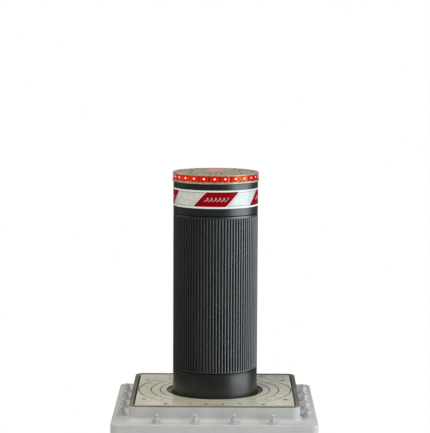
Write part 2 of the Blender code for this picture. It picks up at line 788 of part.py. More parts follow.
def release_parts(plug_axis, spindle_axis):
    """The red plug on its seal, and the valve spindle below it that lets the post down by hand."""
    seal_bottom = -SEAT_DEPTH + GAP
    seal_top = seal_bottom + 0.0016
    seal = [
        (THROAT_RADIUS + 0.0004, seal_top),
        (PLUG_RADIUS, seal_top),
        (PLUG_RADIUS, seal_bottom),
        (THROAT_RADIUS + 0.0004, seal_bottom),
    ]
    keep(turned("plug_seal", seal, 24), "black_rubber", plug_axis)
    stem_radius, stem_bottom = THROAT_RADIUS - 0.0004, -0.018
    profile = [
        (0, 0),
        (PLUG_RADIUS - 0.0008, 0),
        (PLUG_RADIUS, -0.0008),
        (PLUG_RADIUS, seal_top + GAP),
        (stem_radius, seal_top + GAP),
        (stem_radius, stem_bottom),
        (0, stem_bottom),
    ]
    plug = turned("release_plug", profile, 24)
    slot = box("plug_slot", (-0.0015, -0.019, -0.003), (0.0015, 0.019, 0.01))
    boolean(plug, helper(slot, plug_axis), "DIFFERENCE")
    keep(plug, "red_plastic", plug_axis)
    spindle = rod("release_spindle", 0.006, 0.606, 0.678, sides=16)
    head = rod("spindle_hexagon", 0.0085, 0.672, 0.684, sides=6)
    boolean(spindle, helper(head, spindle_axis), "UNION")
    keep(spindle, "machined_steel", spindle_axis)


# ---- the hydraulics inside the post ----
def ram(post):
    """The barrel that hangs from the bulkhead, and the gland that its rod slides through."""
    barrel_top = BULKHEAD_BOTTOM - GAP
    barrel = [
        (0, barrel_top),
        (0.044, barrel_top),
        (0.044, barrel_top - 0.012),
        (BARREL_RADIUS, barrel_top - 0.014),
        (BARREL_RADIUS, BARREL_BOTTOM),
        (BORE_RADIUS, BARREL_BOTTOM),
        (BORE_RADIUS, 0.612),
        (0, 0.612),
    ]
    keep(turned("cylinder_barrel", barrel, 24), "blue_grey_enamel", post)
    gland = [
        (ROD_RADIUS + GAP, BARREL_BOTTOM + 0.012),
        (BORE_RADIUS - GAP, BARREL_BOTTOM + 0.012),
        (BORE_RADIUS - GAP, BARREL_BOTTOM - GAP),
        (0.038, BARREL_BOTTOM - GAP),
        (0.038, BARREL_BOTTOM - 0.022),
        (0.035, BARREL_BOTTOM - 0.025),
        (ROD_RADIUS + GAP, BARREL_BOTTOM - 0.025),
    ]
    keep(turned("cylinder_gland", gland, 24), "machined_steel", post)


def oil_tank(post):
    """A round tank beside the barrel, open at its filler neck."""
    low, high, neck_top, wall = 0.250, 0.580, 0.592, 0.003
    profile = [
        (0, low + wall),
        (TANK_RADIUS - wall, low + wall),
        (TANK_RADIUS - wall, high - wall),
        (0.008, high - wall),
        (0.008, neck_top),
        (0.012, neck_top),
        (0.012, high),
        (TANK_RADIUS - 0.004, high),
        (TANK_RADIUS, high - 0.004),
        (TANK_RADIUS, low),
        (0, low),
    ]
    tank = turned("oil_tank", profile, 24)
    keep(tank, "blue_grey_enamel", post, (0, -MOTOR_OFFSET, 0))


def power_pack(post, motor_axis):
    """Valve block, pump, bell housing and motor on one axis, and the coupling between them."""
    block_low = (-0.034, 0.046, PUMP_TOP + GAP)
    block_high = (0.034, 0.106, 0.634)
    block = box("valve_block", block_low, block_high)
    bore = rod("spindle_bore", 0.0065, 0.604, 0.650)
    boolean(block, helper(bore, post, (0, PLUG_OFFSET, 0)), "DIFFERENCE")
    keep(block, "machined_steel", post)
    pump = turned(
        "pump",
        [
            (0, PUMP_TOP),
            (0.026, PUMP_TOP),
            (0.026, 0.562),
            (0.030, 0.558),
            (0.030, PUMP_BOTTOM),
            (SHAFT_RADIUS + 0.001, PUMP_BOTTOM),
            (SHAFT_RADIUS + 0.001, PUMP_BOTTOM + 0.012),
            (0, PUMP_BOTTOM + 0.012),
        ],
        24,
    )
    keep(pump, "cast_aluminium", motor_axis)
    bell = turned(
        "bell_housing",
        [
            (0.028, PUMP_BOTTOM - GAP),
            (0.036, PUMP_BOTTOM - GAP),
            (0.036, MOTOR_TOP + GAP),
            (0.028, MOTOR_TOP + GAP),
        ],
        24,
    )
    window = box("bell_window", (-0.05, -0.012, 0.510), (0.05, 0.012, 0.530))
    boolean(bell, helper(window, motor_axis), "DIFFERENCE")
    keep(bell, "cast_aluminium", motor_axis)
    fins = []
    for fin in range(4):
        top = MOTOR_TOP - 0.030 - fin * 0.030
        for radius, level in ((0, 0), (-0.003, 0), (-0.003, -0.012), (0, -0.012)):
            fins.append((MOTOR_RADIUS + radius, top + level))
    motor = turned(
        "motor",
        [
            (0, MOTOR_TOP - 0.012),
            (SHAFT_RADIUS + 0.001, MOTOR_TOP - 0.012),
            (SHAFT_RADIUS + 0.001, MOTOR_TOP),
            (MOTOR_RADIUS - 0.002, MOTOR_TOP),
            (MOTOR_RADIUS, MOTOR_TOP - 0.002),
            *fins,
            (MOTOR_RADIUS, MOTOR_TOP - 0.162),
            (MOTOR_RADIUS - 0.003, MOTOR_TOP - 0.165),
            (0, MOTOR_TOP - 0.165),
        ],
        20,
    )
    keep(motor, "blue_grey_enamel", motor_axis)
    coupling = turned(
        "drive_coupling",
        [
            (0, PUMP_BOTTOM + 0.010),
            (SHAFT_RADIUS, PUMP_BOTTOM + 0.010),
            (SHAFT_RADIUS, 0.534),
            (0.018, 0.534),
            (0.018, 0.524),
            (0.016, 0.522),
            (0.016, 0.518),
            (0.018, 0.516),
            (0.018, 0.506),
            (SHAFT_RADIUS, 0.506),
            (SHAFT_RADIUS, MOTOR_TOP - 0.010),
            (0, MOTOR_TOP - 0.010),
        ],
        24,
    )
    for jaw in range(3):
        slot = box(f"jaw_slot_{jaw}", (0.010, -0.0015, 0.500), (0.025, 0.0015, 0.527))
        slot.rotation_euler = (0, 0, math.tau * jaw / 3)
        boolean(coupling, helper(slot, motor_axis), "DIFFERENCE")
    keep(coupling, "machined_steel", motor_axis)


def oil_pipes(post):
    """Pressure line from the valve block to the barrel, and suction line from the tank."""
    level = 0.606
    route = [
        (0.034 + GAP, MOTOR_OFFSET, level),
        (0.064, MOTOR_OFFSET, level),
        (0.064, 0, level),
        (BARREL_RADIUS + GAP, 0, level),
    ]
    keep(pipe("pressure_pipe", route, 0.005), "machined_steel", post)
    level = 0.550
    route = [
        (-0.030 - GAP, MOTOR_OFFSET, level),
        (-0.072, MOTOR_OFFSET, level),
        (-0.072, -MOTOR_OFFSET, level),
        (-TANK_RADIUS - GAP, -MOTOR_OFFSET, level),
    ]
    keep(pipe("suction_pipe", route, 0.006), "machined_steel", post)


def build():
    root = empty("paving_level", (0, 0, PIT_DEPTH))
    casing_shell(root)
    wall_stubs(root)
    casing_flange(root)
    top_frame(root)
    cover_plate(root)
    cover_screws(root)
    guide_parts(root)
    guide_columns(root)
    base_parts(root)
    junction_box(root)
    piston_rod(root)

    post = empty("post_axis", (0, 0, 0), root)
    post_tube(post)
    post_flange(post)
    post_jacket(post)
    head_cap(post)
    head_lamps(post)
    release_parts(
        empty("plug_axis", (0, PLUG_OFFSET, HEAD_TOP), post),
        empty("spindle_axis", (0, PLUG_OFFSET, 0), post),
    )
    ram(post)
    oil_tank(post)
    power_pack(post, empty("motor_axis", (0, MOTOR_OFFSET, 0), post))
    oil_pipes(post)


clear_scene()
PARTS = new_collection("retractable_bollard")
HELPERS = new_collection("cutters")
build()
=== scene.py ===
# %% [markdown]
# # The looks of a retractable bollard
#
# A hydraulic post stands 700 mm proud of the paving, over a square cover plate. Below the paving are
# a bolted ground frame and a sheet steel casing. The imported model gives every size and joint, and
# this script dresses it: fine surfaces worked out with numpy, and procedural materials.

# %% Opening the frame
import json
import math
from functools import partial

import bpy
import numpy as np
from mathutils import Matrix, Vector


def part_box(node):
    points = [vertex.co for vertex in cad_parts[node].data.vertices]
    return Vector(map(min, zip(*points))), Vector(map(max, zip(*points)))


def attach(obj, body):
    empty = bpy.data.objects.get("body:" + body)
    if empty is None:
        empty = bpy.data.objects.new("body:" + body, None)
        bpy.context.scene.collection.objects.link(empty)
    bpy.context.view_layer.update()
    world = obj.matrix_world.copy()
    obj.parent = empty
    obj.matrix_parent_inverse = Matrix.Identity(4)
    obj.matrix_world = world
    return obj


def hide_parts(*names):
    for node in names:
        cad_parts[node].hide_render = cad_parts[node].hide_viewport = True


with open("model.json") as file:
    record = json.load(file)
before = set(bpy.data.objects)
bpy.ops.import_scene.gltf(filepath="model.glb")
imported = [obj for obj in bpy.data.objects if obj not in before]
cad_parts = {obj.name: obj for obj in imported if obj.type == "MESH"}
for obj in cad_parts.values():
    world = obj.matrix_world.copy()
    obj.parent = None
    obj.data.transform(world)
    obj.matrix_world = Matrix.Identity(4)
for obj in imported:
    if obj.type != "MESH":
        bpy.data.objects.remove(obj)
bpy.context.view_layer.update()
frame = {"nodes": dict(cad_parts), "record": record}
MM = 0.001
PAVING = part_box("cover_plate")[1][2]
POST_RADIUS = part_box("fluted_sleeve")[1][0]
HEAD_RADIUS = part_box("head_cap")[1][0]
HEAD_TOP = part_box("head_cap")[1][2]
print("paving level", round(PAVING, 3), "post radius", round(POST_RADIUS, 4))

# %% [markdown]
# ## A profile with rounded corners
#
# Machined edges are never quite sharp: a small arc catches the light as a thin bright line. Most
# pieces here are one outline carried round a path, so the arc goes into the outline. A point close to
# each end of the arc keeps the flat beside it shaded flat.

# %% Rounding an outline
def rounded(corners, steps=4):
    """Corners are (across, up) or (across, up, radius). A corner with a radius becomes an arc that
    touches both legs: its centre lies radius / sin(half angle) along the line between them."""
    count = len(corners)
    points = []
    for i, corner in enumerate(corners):
        here = np.array(corner[:2], float)
        if len(corner) == 2:
            points.append(here)
            continue
        radius = corner[2]
        back = np.array(corners[i - 1][:2]) - here
        ahead = np.array(corners[(i + 1) % count][:2]) - here
        back /= np.linalg.norm(back)
        ahead /= np.linalg.norm(ahead)
        half = math.acos(np.clip(back @ ahead, -1, 1)) / 2
        reach = radius / math.tan(half)
        middle = here + (back + ahead) / np.linalg.norm(back + ahead) * radius / math.sin(half)
        start, end = here + back * reach - middle, here + ahead * reach - middle
        turn = math.atan2(start[0] * end[1] - start[1] * end[0], start @ end)
        points.append(here + back * reach * 1.3)
        for share in np.linspace(0, 1, steps + 1):
            c, s = math.cos(turn * share), math.sin(turn * share)
            points.append(middle + (c * start[0] - s * start[1], s * start[0] + c * start[1]))
        points.append(here + ahead * reach * 1.3)
    return np.array(points)

# %% [markdown]
# ## Surfaces from arrays
#
# Every surface is a grid: rows of points up its profile, columns around it. Where the columns run
# anticlockwise and the rows climb the outer side, the faces point outwards. Either the last row
# joins the first, which makes a ring, or each end is closed by one flat face.

# %% Grids, turned shapes and rounded squares
def grid(points, ring=True):
    """Quads between neighbouring rows and columns. The columns close round; with ring, the last row
    joins the first, and otherwise the first and last rows are closed by a face each."""
    rows, columns = points.shape[:2]
    index = np.arange(rows * columns).reshape(rows, columns)
    if ring:
        index = np.vstack([index, index[:1]])
    right = np.roll(index, -1, axis=1)
    quads = np.stack([index[:-1], right[:-1], right[1:], index[1:]], axis=-1)
    faces = quads.reshape(-1, 4).tolist()
    if not ring:
        faces += [index[0, ::-1].tolist(), index[-1].tolist()]
    return points.reshape(-1, 3), faces


def around(columns, start=0.0):
    return start + np.linspace(0, math.tau, columns, endpoint=False)


def circle_row(radius, angle, height, centre=(0, 0)):
    """Points around an upright axis. The radius and the height may each change with the angle."""
    x = centre[0] + radius * np.cos(angle)
    y = centre[1] + radius * np.sin(angle)
    return np.stack([x, y, height + 0 * x], axis=-1)


def turned(profile, columns=192, centre=(0, 0)):
    """Radius and height of each profile point, carried round an upright axis through the centre."""
    profile = np.asarray(profile, float)
    return circle_row(profile[:, :1], around(columns), profile[:, 1:2], centre)


def lathe(profile, columns, centre=(0, 0)):
    """One turned part, from an outline with rounded corners."""
    return [grid(turned(rounded(profile), columns, centre))]


def square_ring(half, corner, arc_steps=10):
    """A square with quarter-round corners, anticlockwise: each corner's centre plus an arc."""
    quarter = np.linspace(0, math.pi / 2, arc_steps + 1)
    parts = []
    for turn, (sx, sy) in enumerate([(1, 1), (-1, 1), (-1, -1), (1, -1)]):
        a = quarter + turn * math.pi / 2
        x = sx * (half - corner) + corner * np.cos(a)
        y = sy * (half - corner) + corner * np.sin(a)
        parts.append(np.stack([x, y], axis=-1))
    return np.concatenate(parts)


def square_sweep(profile, corner, spread=1.0):
    """A profile of (half side, height) carried round a square. A point that stands further out than
    the first one turns its corner on a larger radius: by spread times the difference."""
    base = profile[0][0]
    rings = []
    for half, height in profile:
        flat = square_ring(half, max(corner + spread * (half - base), 0.5 * MM))
        rings.append(np.column_stack([flat, np.full(len(flat), height)]))
    return np.array(rings)

# %% Turning arrays into a piece
def smooth(mesh):
    """Shades a mesh smooth, but for edges sharper than 35 degrees."""
    mesh.shade_smooth()
    mesh.set_sharp_from_angle(angle=math.radians(35))
    return mesh


def mesh_of(name, parts):
    """One smooth mesh from several (points, faces) parts."""
    points, faces, start = [], [], 0
    for part_points, part_faces in parts:
        points.append(part_points)
        faces += [[start + corner for corner in face] for face in part_faces]
        start += len(part_points)
    mesh = bpy.data.meshes.new(name)
    mesh.from_pydata(np.concatenate(points).tolist(), [], faces)
    mesh.validate()
    mesh.update()
    return smooth(mesh)


def new_object(name, data):
    made = bpy.data.objects.new(name, data)
    bpy.context.scene.collection.objects.link(made)
    return made


def piece(name, parts, body, slot, stands_for=(), material=None):
    """A finished piece: its mesh, the body that it rides on, its slot, what it replaces, and its
    material, which is the slot's own finish if none is given."""
    made = new_object(name, mesh_of(name, parts))
    made.data.materials.append(material or FINISH[slot])
    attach(made, body)
    if stands_for:
        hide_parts(*stands_for)
    print(name, len(made.data.polygons), "faces")
    return made


def cut(made, parts):
    """Takes closed shapes out of a piece with an exact Boolean, and keeps the result as its mesh."""
    tool = new_object("cutter", mesh_of("cutter", parts))
    step = made.modifiers.new("cut", "BOOLEAN")
    step.operation = "DIFFERENCE"
    step.solver = "EXACT"
    step.object = tool
    graph = bpy.context.evaluated_depsgraph_get()
    mesh = bpy.data.meshes.new_from_object(made.evaluated_get(graph))
    made.modifiers.clear()
    made.data = smooth(mesh)
    bpy.data.objects.remove(tool)

# %% [markdown]
# ## Colours and nodes
#
# Colours are written as sRGB hex, and Blender's sockets hold linear light, so one function converts
# them. Another adds a node with its settings and inputs. Small ones build on it, and find the node
# tree as the id_data of a node or socket that they are given.

# %% Colour and node helpers
def linear(code):
    """Each sRGB channel c: c / 12.92 up to 0.04045, and ((c + 0.055) / 1.055) ^ 2.4 above."""
    channels = np.array([int(code[i : i + 2], 16) for i in (1, 3, 5)]) / 255
    low, high = channels / 12.92, ((channels + 0.055) / 1.055) ** 2.4
    return (*np.where(channels <= 0.04045, low, high).tolist(), 1.0)


def add(tree, kind, inputs=None, **settings):
    """Adds a node. An input is a value, a socket, or a node, which gives its first output."""
    made = tree.nodes.new("ShaderNode" + kind)
    for key, value in settings.items():
        setattr(made, key, value)
    for key, value in (inputs or {}).items():
        if isinstance(value, bpy.types.Node):
            value = value.outputs[0]
        if isinstance(value, bpy.types.NodeSocket):
            tree.links.new(value, made.inputs[key])
        else:
            made.inputs[key].default_value = value
    return made


def new_material(name, colour, roughness, metallic=0.0, **sockets):
    """A Principled material with plain values; returns it, its nodes, shader and coordinates."""
    made = bpy.data.materials.new(name)
    made.use_nodes = True
    tree = made.node_tree
    shader = tree.nodes["Principled BSDF"]
    shader.inputs["Base Color"].default_value = linear(colour)
    shader.inputs["Roughness"].default_value = roughness
    shader.inputs["Metallic"].default_value = metallic
    for key, value in sockets.items():
        shader.inputs[key.replace("_", " ")].default_value = value
    place = add(tree, "TexCoord").outputs["Object"]
    return made, tree, shader, place


def drive(shader, socket, value):
    """Links a socket, or a node's first output, to one of the shader's inputs."""
    source = value.outputs[0] if isinstance(value, bpy.types.Node) else value
    shader.id_data.links.new(source, shader.inputs[socket])


def grain(place, size_mm, detail=3.0, stretch=(1, 1, 1)):
    """Noise whose lumps are about size_mm across, or longer where stretch is below 1."""
    tree = place.id_data
    spread = add(tree, "Mapping", {"Vector": place, "Scale": stretch})
    return add(tree, "TexNoise", {"Vector": spread, "Scale": 1000 / size_mm, "Detail": detail})


def ramp(value, stops):
    """A colour ramp over value; stops are (position, hex colour or grey number)."""
    made = add(value.id_data, "ValToRGB", {0: value})
    while len(made.color_ramp.elements) < len(stops):
        made.color_ramp.elements.new(0.5)
    for element, (position, colour) in zip(made.color_ramp.elements, stops):
        element.position = position
        element.color = linear(colour) if isinstance(colour, str) else (colour, colour, colour, 1)
    return made


def tones(noise, low, high):
    """A ramp from one colour to another over the middle of a noise."""
    return ramp(noise, [(0.3, low), (0.7, high)])


def bump(shader, height, depth_mm):
    """Raises the surface by height, from 0 to 1, times depth_mm."""
    inputs = {"Height": height, "Strength": 1.0, "Distance": depth_mm * MM}
    drive(shader, "Normal", add(shader.id_data, "Bump", inputs))


def math_node(tree, operation, a, b=0.0, c=0.0):
    return add(tree, "Math", {0: a, 1: b, 2: c}, operation=operation)


def around_axis(place):
    """The point's angle about the post's axis in radians, its height, and its radius."""
    calc = partial(math_node, place.id_data)
    parts = add(place.id_data, "SeparateXYZ", {0: place})
    x, y, height = (parts.outputs[name] for name in "XYZ")
    squares = calc("MULTIPLY_ADD", x, x, calc("MULTIPLY", y, y))
    return calc("ARCTAN2", y, x), height, calc("SQRT", squares)


def fold(value):
    """How far value lies past its nearest whole number, from -0.5 to 0.5."""
    calc = partial(math_node, value.id_data)
    return calc("SUBTRACT", value, calc("ROUND", value))


def apart(a, b):
    """How far a lies from b, either way."""
    calc = partial(math_node, a.id_data)
    return calc("ABSOLUTE", calc("SUBTRACT", a, b))


def fade(value, near, far):
    """1 up to near, falling smoothly to 0 at far."""
    inputs = {0: value, 1: near, 2: far, 3: 1.0, 4: 0.0}
    return add(value.id_data, "MapRange", inputs, interpolation_type="SMOOTHSTEP")


def window(value, middle, half, soft):
    """1 where value lies within half of the middle, falling to 0 over the soft width outside."""
    return fade(apart(value, middle), half, half + soft)


def mix(share, a, b):
    """A colour from a to b by share; a and b are sockets, nodes or hex codes."""
    a, b = (linear(end) if isinstance(end, str) else end for end in (a, b))
    return add(share.id_data, "Mix", {0: share, 6: a, 7: b}, data_type="RGBA").outputs[2]

# %% [markdown]
# ## Powder coat
#
# The post is steel under an anthracite powder coat: a skin with a shallow orange peel, about 2 mm
# between lumps, and a thin brown road film. Deep in the flutes the coat is dusty and hardly shines.

# %% Anthracite powder coat
def powder_coat(name, colour, film, roughness, ior=1.5):
    made, tree, shader, place = new_material(name, colour, roughness, IOR=ior, Coat_Roughness=0.36)
    bottom, crest = POST_RADIUS - 3.6 * MM, POST_RADIUS - 1.6 * MM
    radius = around_axis(place)[2]
    for socket, dull, shiny in (("Coat Weight", 0.0, 0.8), ("Specular IOR Level", 0.12, 0.5)):
        shine = add(tree, "MapRange", {0: radius, 1: bottom, 2: crest, 3: dull, 4: shiny})
        drive(shader, socket, shine)
    dust = grain(place, 60, 4)
    drive(shader, "Base Color", ramp(dust, [(0.35, colour), (0.75, film)]))
    speck = grain(place, 9, 2)
    drive(shader, "Roughness", tones(speck, roughness - 0.02, roughness + 0.03))
    bump(shader, grain(place, 2.0, 2), 0.04)
    return made


anthracite = powder_coat("anthracite powder coat", "#151717", "#191A18", 0.36)
rubbed_coat = powder_coat("rubbed anthracite powder coat", "#161818", "#1B1C1A", 0.38, 1.8)

# %% [markdown]
# ## Metals
#
# Each surface shows how it was made: blasting leaves even pits on the head's aluminium, rolling fine
# lines on the stainless plate, zinc flat crystals on the casing, and turning rings on the screws.

# %% Sandblasted aluminium, with the lamps' red light on its rim
LED_COUNT = 24
LED_TURN = math.radians(-91.4)  # the angle of the lamp that faces the front
LED_HEIGHT = (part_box("led_lens")[0][2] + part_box("led_lens")[1][2]) / 2


def lamp_distance(angle, height, radius):
    """Metres over a round surface to the nearest lamp: the angle is folded into one lamp's share,
    and turned into an arc by the surface's radius."""
    calc = partial(math_node, angle.id_data)
    share = calc("MULTIPLY", calc("SUBTRACT", angle, LED_TURN), LED_COUNT / math.tau)
    arc = calc("MULTIPLY", fold(share), radius * math.tau / LED_COUNT)
    rise = calc("SUBTRACT", height, LED_HEIGHT)
    return calc("SQRT", calc("MULTIPLY_ADD", rise, rise, calc("MULTIPLY", arc, arc)))


def sandblasted_aluminium():
    """Red light lies on the rim, out to 14 mm from a lamp, and is weak on the head's right."""
    made, tree, shader, place = new_material("sandblasted aluminium", "#C8C2B2", 0.45, 0.35)
    calc = partial(math_node, tree)
    cloud = tones(grain(place, 25, 5), "#9B9380", "#BDB6A5")
    angle, height, radius = around_axis(place)
    spill = fade(lamp_distance(angle, height, HEAD_RADIUS), 10 * MM, 14 * MM)
    front = calc("ADD", angle, math.pi / 2)
    bare = window(front, math.radians(42), math.radians(24), 0.2)
    spill = calc("MULTIPLY", spill, calc("MULTIPLY_ADD", bare, -0.8, 1.0))
    lit = calc("MULTIPLY", spill, calc("GREATER_THAN", radius, HEAD_RADIUS - 2.5 * MM))
    colour = mix(lit, cloud, "#C4441E")
    drive(shader, "Base Color", colour)
    drive(shader, "Emission Color", colour)
    drive(shader, "Emission Strength", calc("MULTIPLY", lit, 0.18))
    bump(shader, grain(place, 1.2, 3), 0.12)
    return made


aluminium = sandblasted_aluminium()

# %% Rolled stainless steel, with painted shade in its engraving
def stainless_plate():
    """Lines 0.6 mm apart run along X, as the sheet was rolled. Below the plate's face the colour
    turns dark: painted shade.
    """
    made, tree, shader, place = new_material("rolled stainless steel", "#C6C3B6", 0.3, 0.3)
    tone = tones(grain(place, 90, 4), "#BFBBA6", "#D3CFBD")
    height = add(tree, "SeparateXYZ", {0: place}).outputs["Z"]
    # painted shade: from 0.3 mm below the face downwards, the colour goes dark brown in grooves,
    # ticks and countersinks and over the edges
    depths = {0: height, 1: PAVING - 1.0 * MM, 2: PAVING - 0.3 * MM, 3: 1.0, 4: 0.0}
    drive(shader, "Base Color", mix(add(tree, "MapRange", depths), tone, "#4A4636"))
    lines = grain(place, 0.6, 2, (0.01, 1, 1))
    drive(shader, "Roughness", tones(lines, 0.24, 0.36))
    bump(shader, lines, 0.03)
    return made


stainless = stainless_plate()

# %% Steel below the paving
def galvanised(name, dark, light, roughness, spangle_mm):
    """Zinc crystals, each with its own tone and roughness."""
    made, tree, shader, place = new_material(name, light, roughness, 0.7)
    cells = add(tree, "TexVoronoi", {"Vector": place, "Scale": 1000 / spangle_mm})
    tone = add(tree, "SeparateColor", {0: cells.outputs["Color"]})
    drive(shader, "Base Color", ramp(tone, [(0.0, dark), (1.0, light)]))
    stops = [(0.0, roughness - 0.08), (1.0, roughness + 0.1)]
    drive(shader, "Roughness", ramp(tone.outputs[1], stops))
    bump(shader, grain(place, 5, 3), 0.08)
    return made


def painted_steel(name, dark, light, roughness, grain_mm=3.0, depth_mm=0.1):
    made, _, shader, place = new_material(name, light, roughness)
    cloud = grain(place, 70, 5)
    drive(shader, "Base Color", tones(cloud, dark, light))
    bump(shader, grain(place, grain_mm, 3), depth_mm)
    return made


def turned_steel(name, colour, roughness, metallic=0.9):
    """Steel from the lathe, with rings 0.5 mm apart up the height."""
    made, _, shader, place = new_material(name, colour, roughness, metallic)
    rings = grain(place, 0.5, 1, (0.02, 0.02, 1))
    drive(shader, "Roughness", tones(rings, roughness - 0.06, roughness + 0.06))
    bump(shader, rings, 0.02)
    return made


zinc_sheet = galvanised("hot-dip galvanised steel", "#9DA1A4", "#B0B4B7", 0.45, 11)
grey_paint = painted_steel("light grey primer", "#ADADAD", "#BABAB7", 0.55)
rim_steel = painted_steel("weathered rim steel", "#646254", "#7C7969", 0.5, 2.0)
tool_steel = turned_steel("turned steel", "#85868A", 0.35)
chrome = turned_steel("hard chrome", "#D2D3D6", 0.12, 1.0)
black_steel = turned_steel("blackened steel", "#2A2824", 0.5, 0.3)

# %% [markdown]
# ## Plastics, rubber and enamel
#
# Moulded parts are smooth with a faint texture; rubber is matt and a little dusty; nylon is milky.

# %% Moulded and cast finishes
def moulded(name, dark, light, roughness, grain_mm=1.5, depth_mm=0.03, **sockets):
    made, _, shader, place = new_material(name, light, roughness, **sockets)
    cloud = grain(place, 30, 3)
    drive(shader, "Base Color", ramp(cloud, [(0.35, dark), (0.65, light)]))
    bump(shader, grain(place, grain_mm, 2), depth_mm)
    return made


rubber = moulded("black EPDM rubber", "#161616", "#1F1F1E", 0.78, 2.5, 0.08)
wiper_felt = moulded("grey wiper brush", "#625D4F", "#7F796A", 0.85, 1.2, 0.3)
nylon = moulded("natural nylon", "#D6D3C6", "#E2DFD3", 0.5, Subsurface_Weight=0.1)
red_plug = moulded("red polycarbonate plug", "#F4705E", "#FF8270", 0.45)
enamel = moulded("blue-grey enamel", "#3D4A57", "#475562", 0.35, 6, 0.05)
pvc = moulded("grey PVC", "#8D9094", "#999CA0", 0.45)

# %% [markdown]
# ## The lens and its lamps
#
# Behind the clear red lens runs a strip with 24 lamps. A lit lamp shows as a white core, a magenta
# fringe, a red disc and an orange ring: the strip glows by how far each point lies from its nearest
# lamp, which needs far fewer samples than light traced through plastic. The strip's joint is on the
# right, beside an amber tape, and its left side glows more evenly.

# %% Lamp strip and lens materials
STRIP_RADIUS = 130.8 * MM


def glowing_strip():
    made, tree, shader, place = new_material("lit lamp strip", "#5A0A06", 0.5)
    calc = partial(math_node, tree)
    angle, height, _ = around_axis(place)
    front = calc("ADD", angle, math.pi / 2)

    def sector(middle, half, soft):
        """1 within half of the middle, fading over soft, all in degrees to the right of the front."""
        return window(front, *map(math.radians, (middle, half, soft)))

    distance = lamp_distance(angle, height, STRIP_RADIUS)
    scaled = calc("MULTIPLY", distance, 1 / (20 * MM))
    stops = [(0.09, "#FFF4EC"), (0.16, "#FF2C86"), (0.24, "#E80A38"), (0.36, "#D4140C")]
    stops += [(0.50, "#C02008"), (0.60, "#E0500E"), (0.70, "#801002"), (0.84, "#5A0702")]
    glow = ramp(scaled, stops)
    patches = ramp(grain(place, 6, 2), [(0.34, 0.0), (0.52, 1.0)])
    away = calc("GREATER_THAN", distance, 4.5 * MM)
    tape = calc("MULTIPLY", calc("MULTIPLY", sector(39, 9.5, 3), away), patches)
    amber = calc("MAXIMUM", tape, sector(18.6, 0.9, 0.3))
    outside = add(tree, "MapRange", {0: scaled, 1: 0.24, 2: 0.36})
    evened = calc("MULTIPLY", calc("MULTIPLY", sector(-62, 26, 16), outside), 0.75)
    glow = mix(evened, glow, "#DC4A14")
    drive(shader, "Emission Color", mix(amber, glow, "#FFB62A"))
    core = add(tree, "MapRange", {0: scaled, 1: 0.10, 2: 0.20, 3: 7.0, 4: 1.7})
    drive(shader, "Emission Strength", core)
    return made


lamp_glow = glowing_strip()
lens_glow = {"Emission_Color": linear("#E0300A"), "Emission_Strength": 0.16}
lens_clear = {"Alpha": 0.5, "Specular_IOR_Level": 0.1}
lens_red = moulded(
    "clear red lens", "#900A04", "#A41006", 0.25, 8, 0.02, **lens_clear, **lens_glow
)
lens_red.surface_render_method = "BLENDED"

# %% [markdown]
# ## The reflective band
#
# The band is microprismatic film: slanted red and white fields with pale sealed edges, and matt ink
# in the red. The fields repeat every quarter turn, and start 7 degrees early beyond the film's joint,
# on the right. Their edges lean, so the pattern reads the angle less a share of the height. The white
# shows a faint honeycomb, and each red field has a row of plain chevrons.

# %% Band material
BAND_LOW, BAND_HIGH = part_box("reflective_band")[0][2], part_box("reflective_band")[1][2]
FIELDS = 4  # pairs of a red and a white field around the band
HALF_RED = POST_RADIUS * math.radians(45) / 2
FIELD_LEAN = math.radians(17) / (42 * MM)
JOINT_AT, JOINT_SHIFT = math.radians(43), math.radians(7)
BORDER_FROM = 23.2 * MM  # the sealed border's distance from the band's middle
CHEVRON_PITCH, CHEVRON_RISE, CHEVRON_SPAN = 13 * MM, 6.0 * MM, 37 * MM


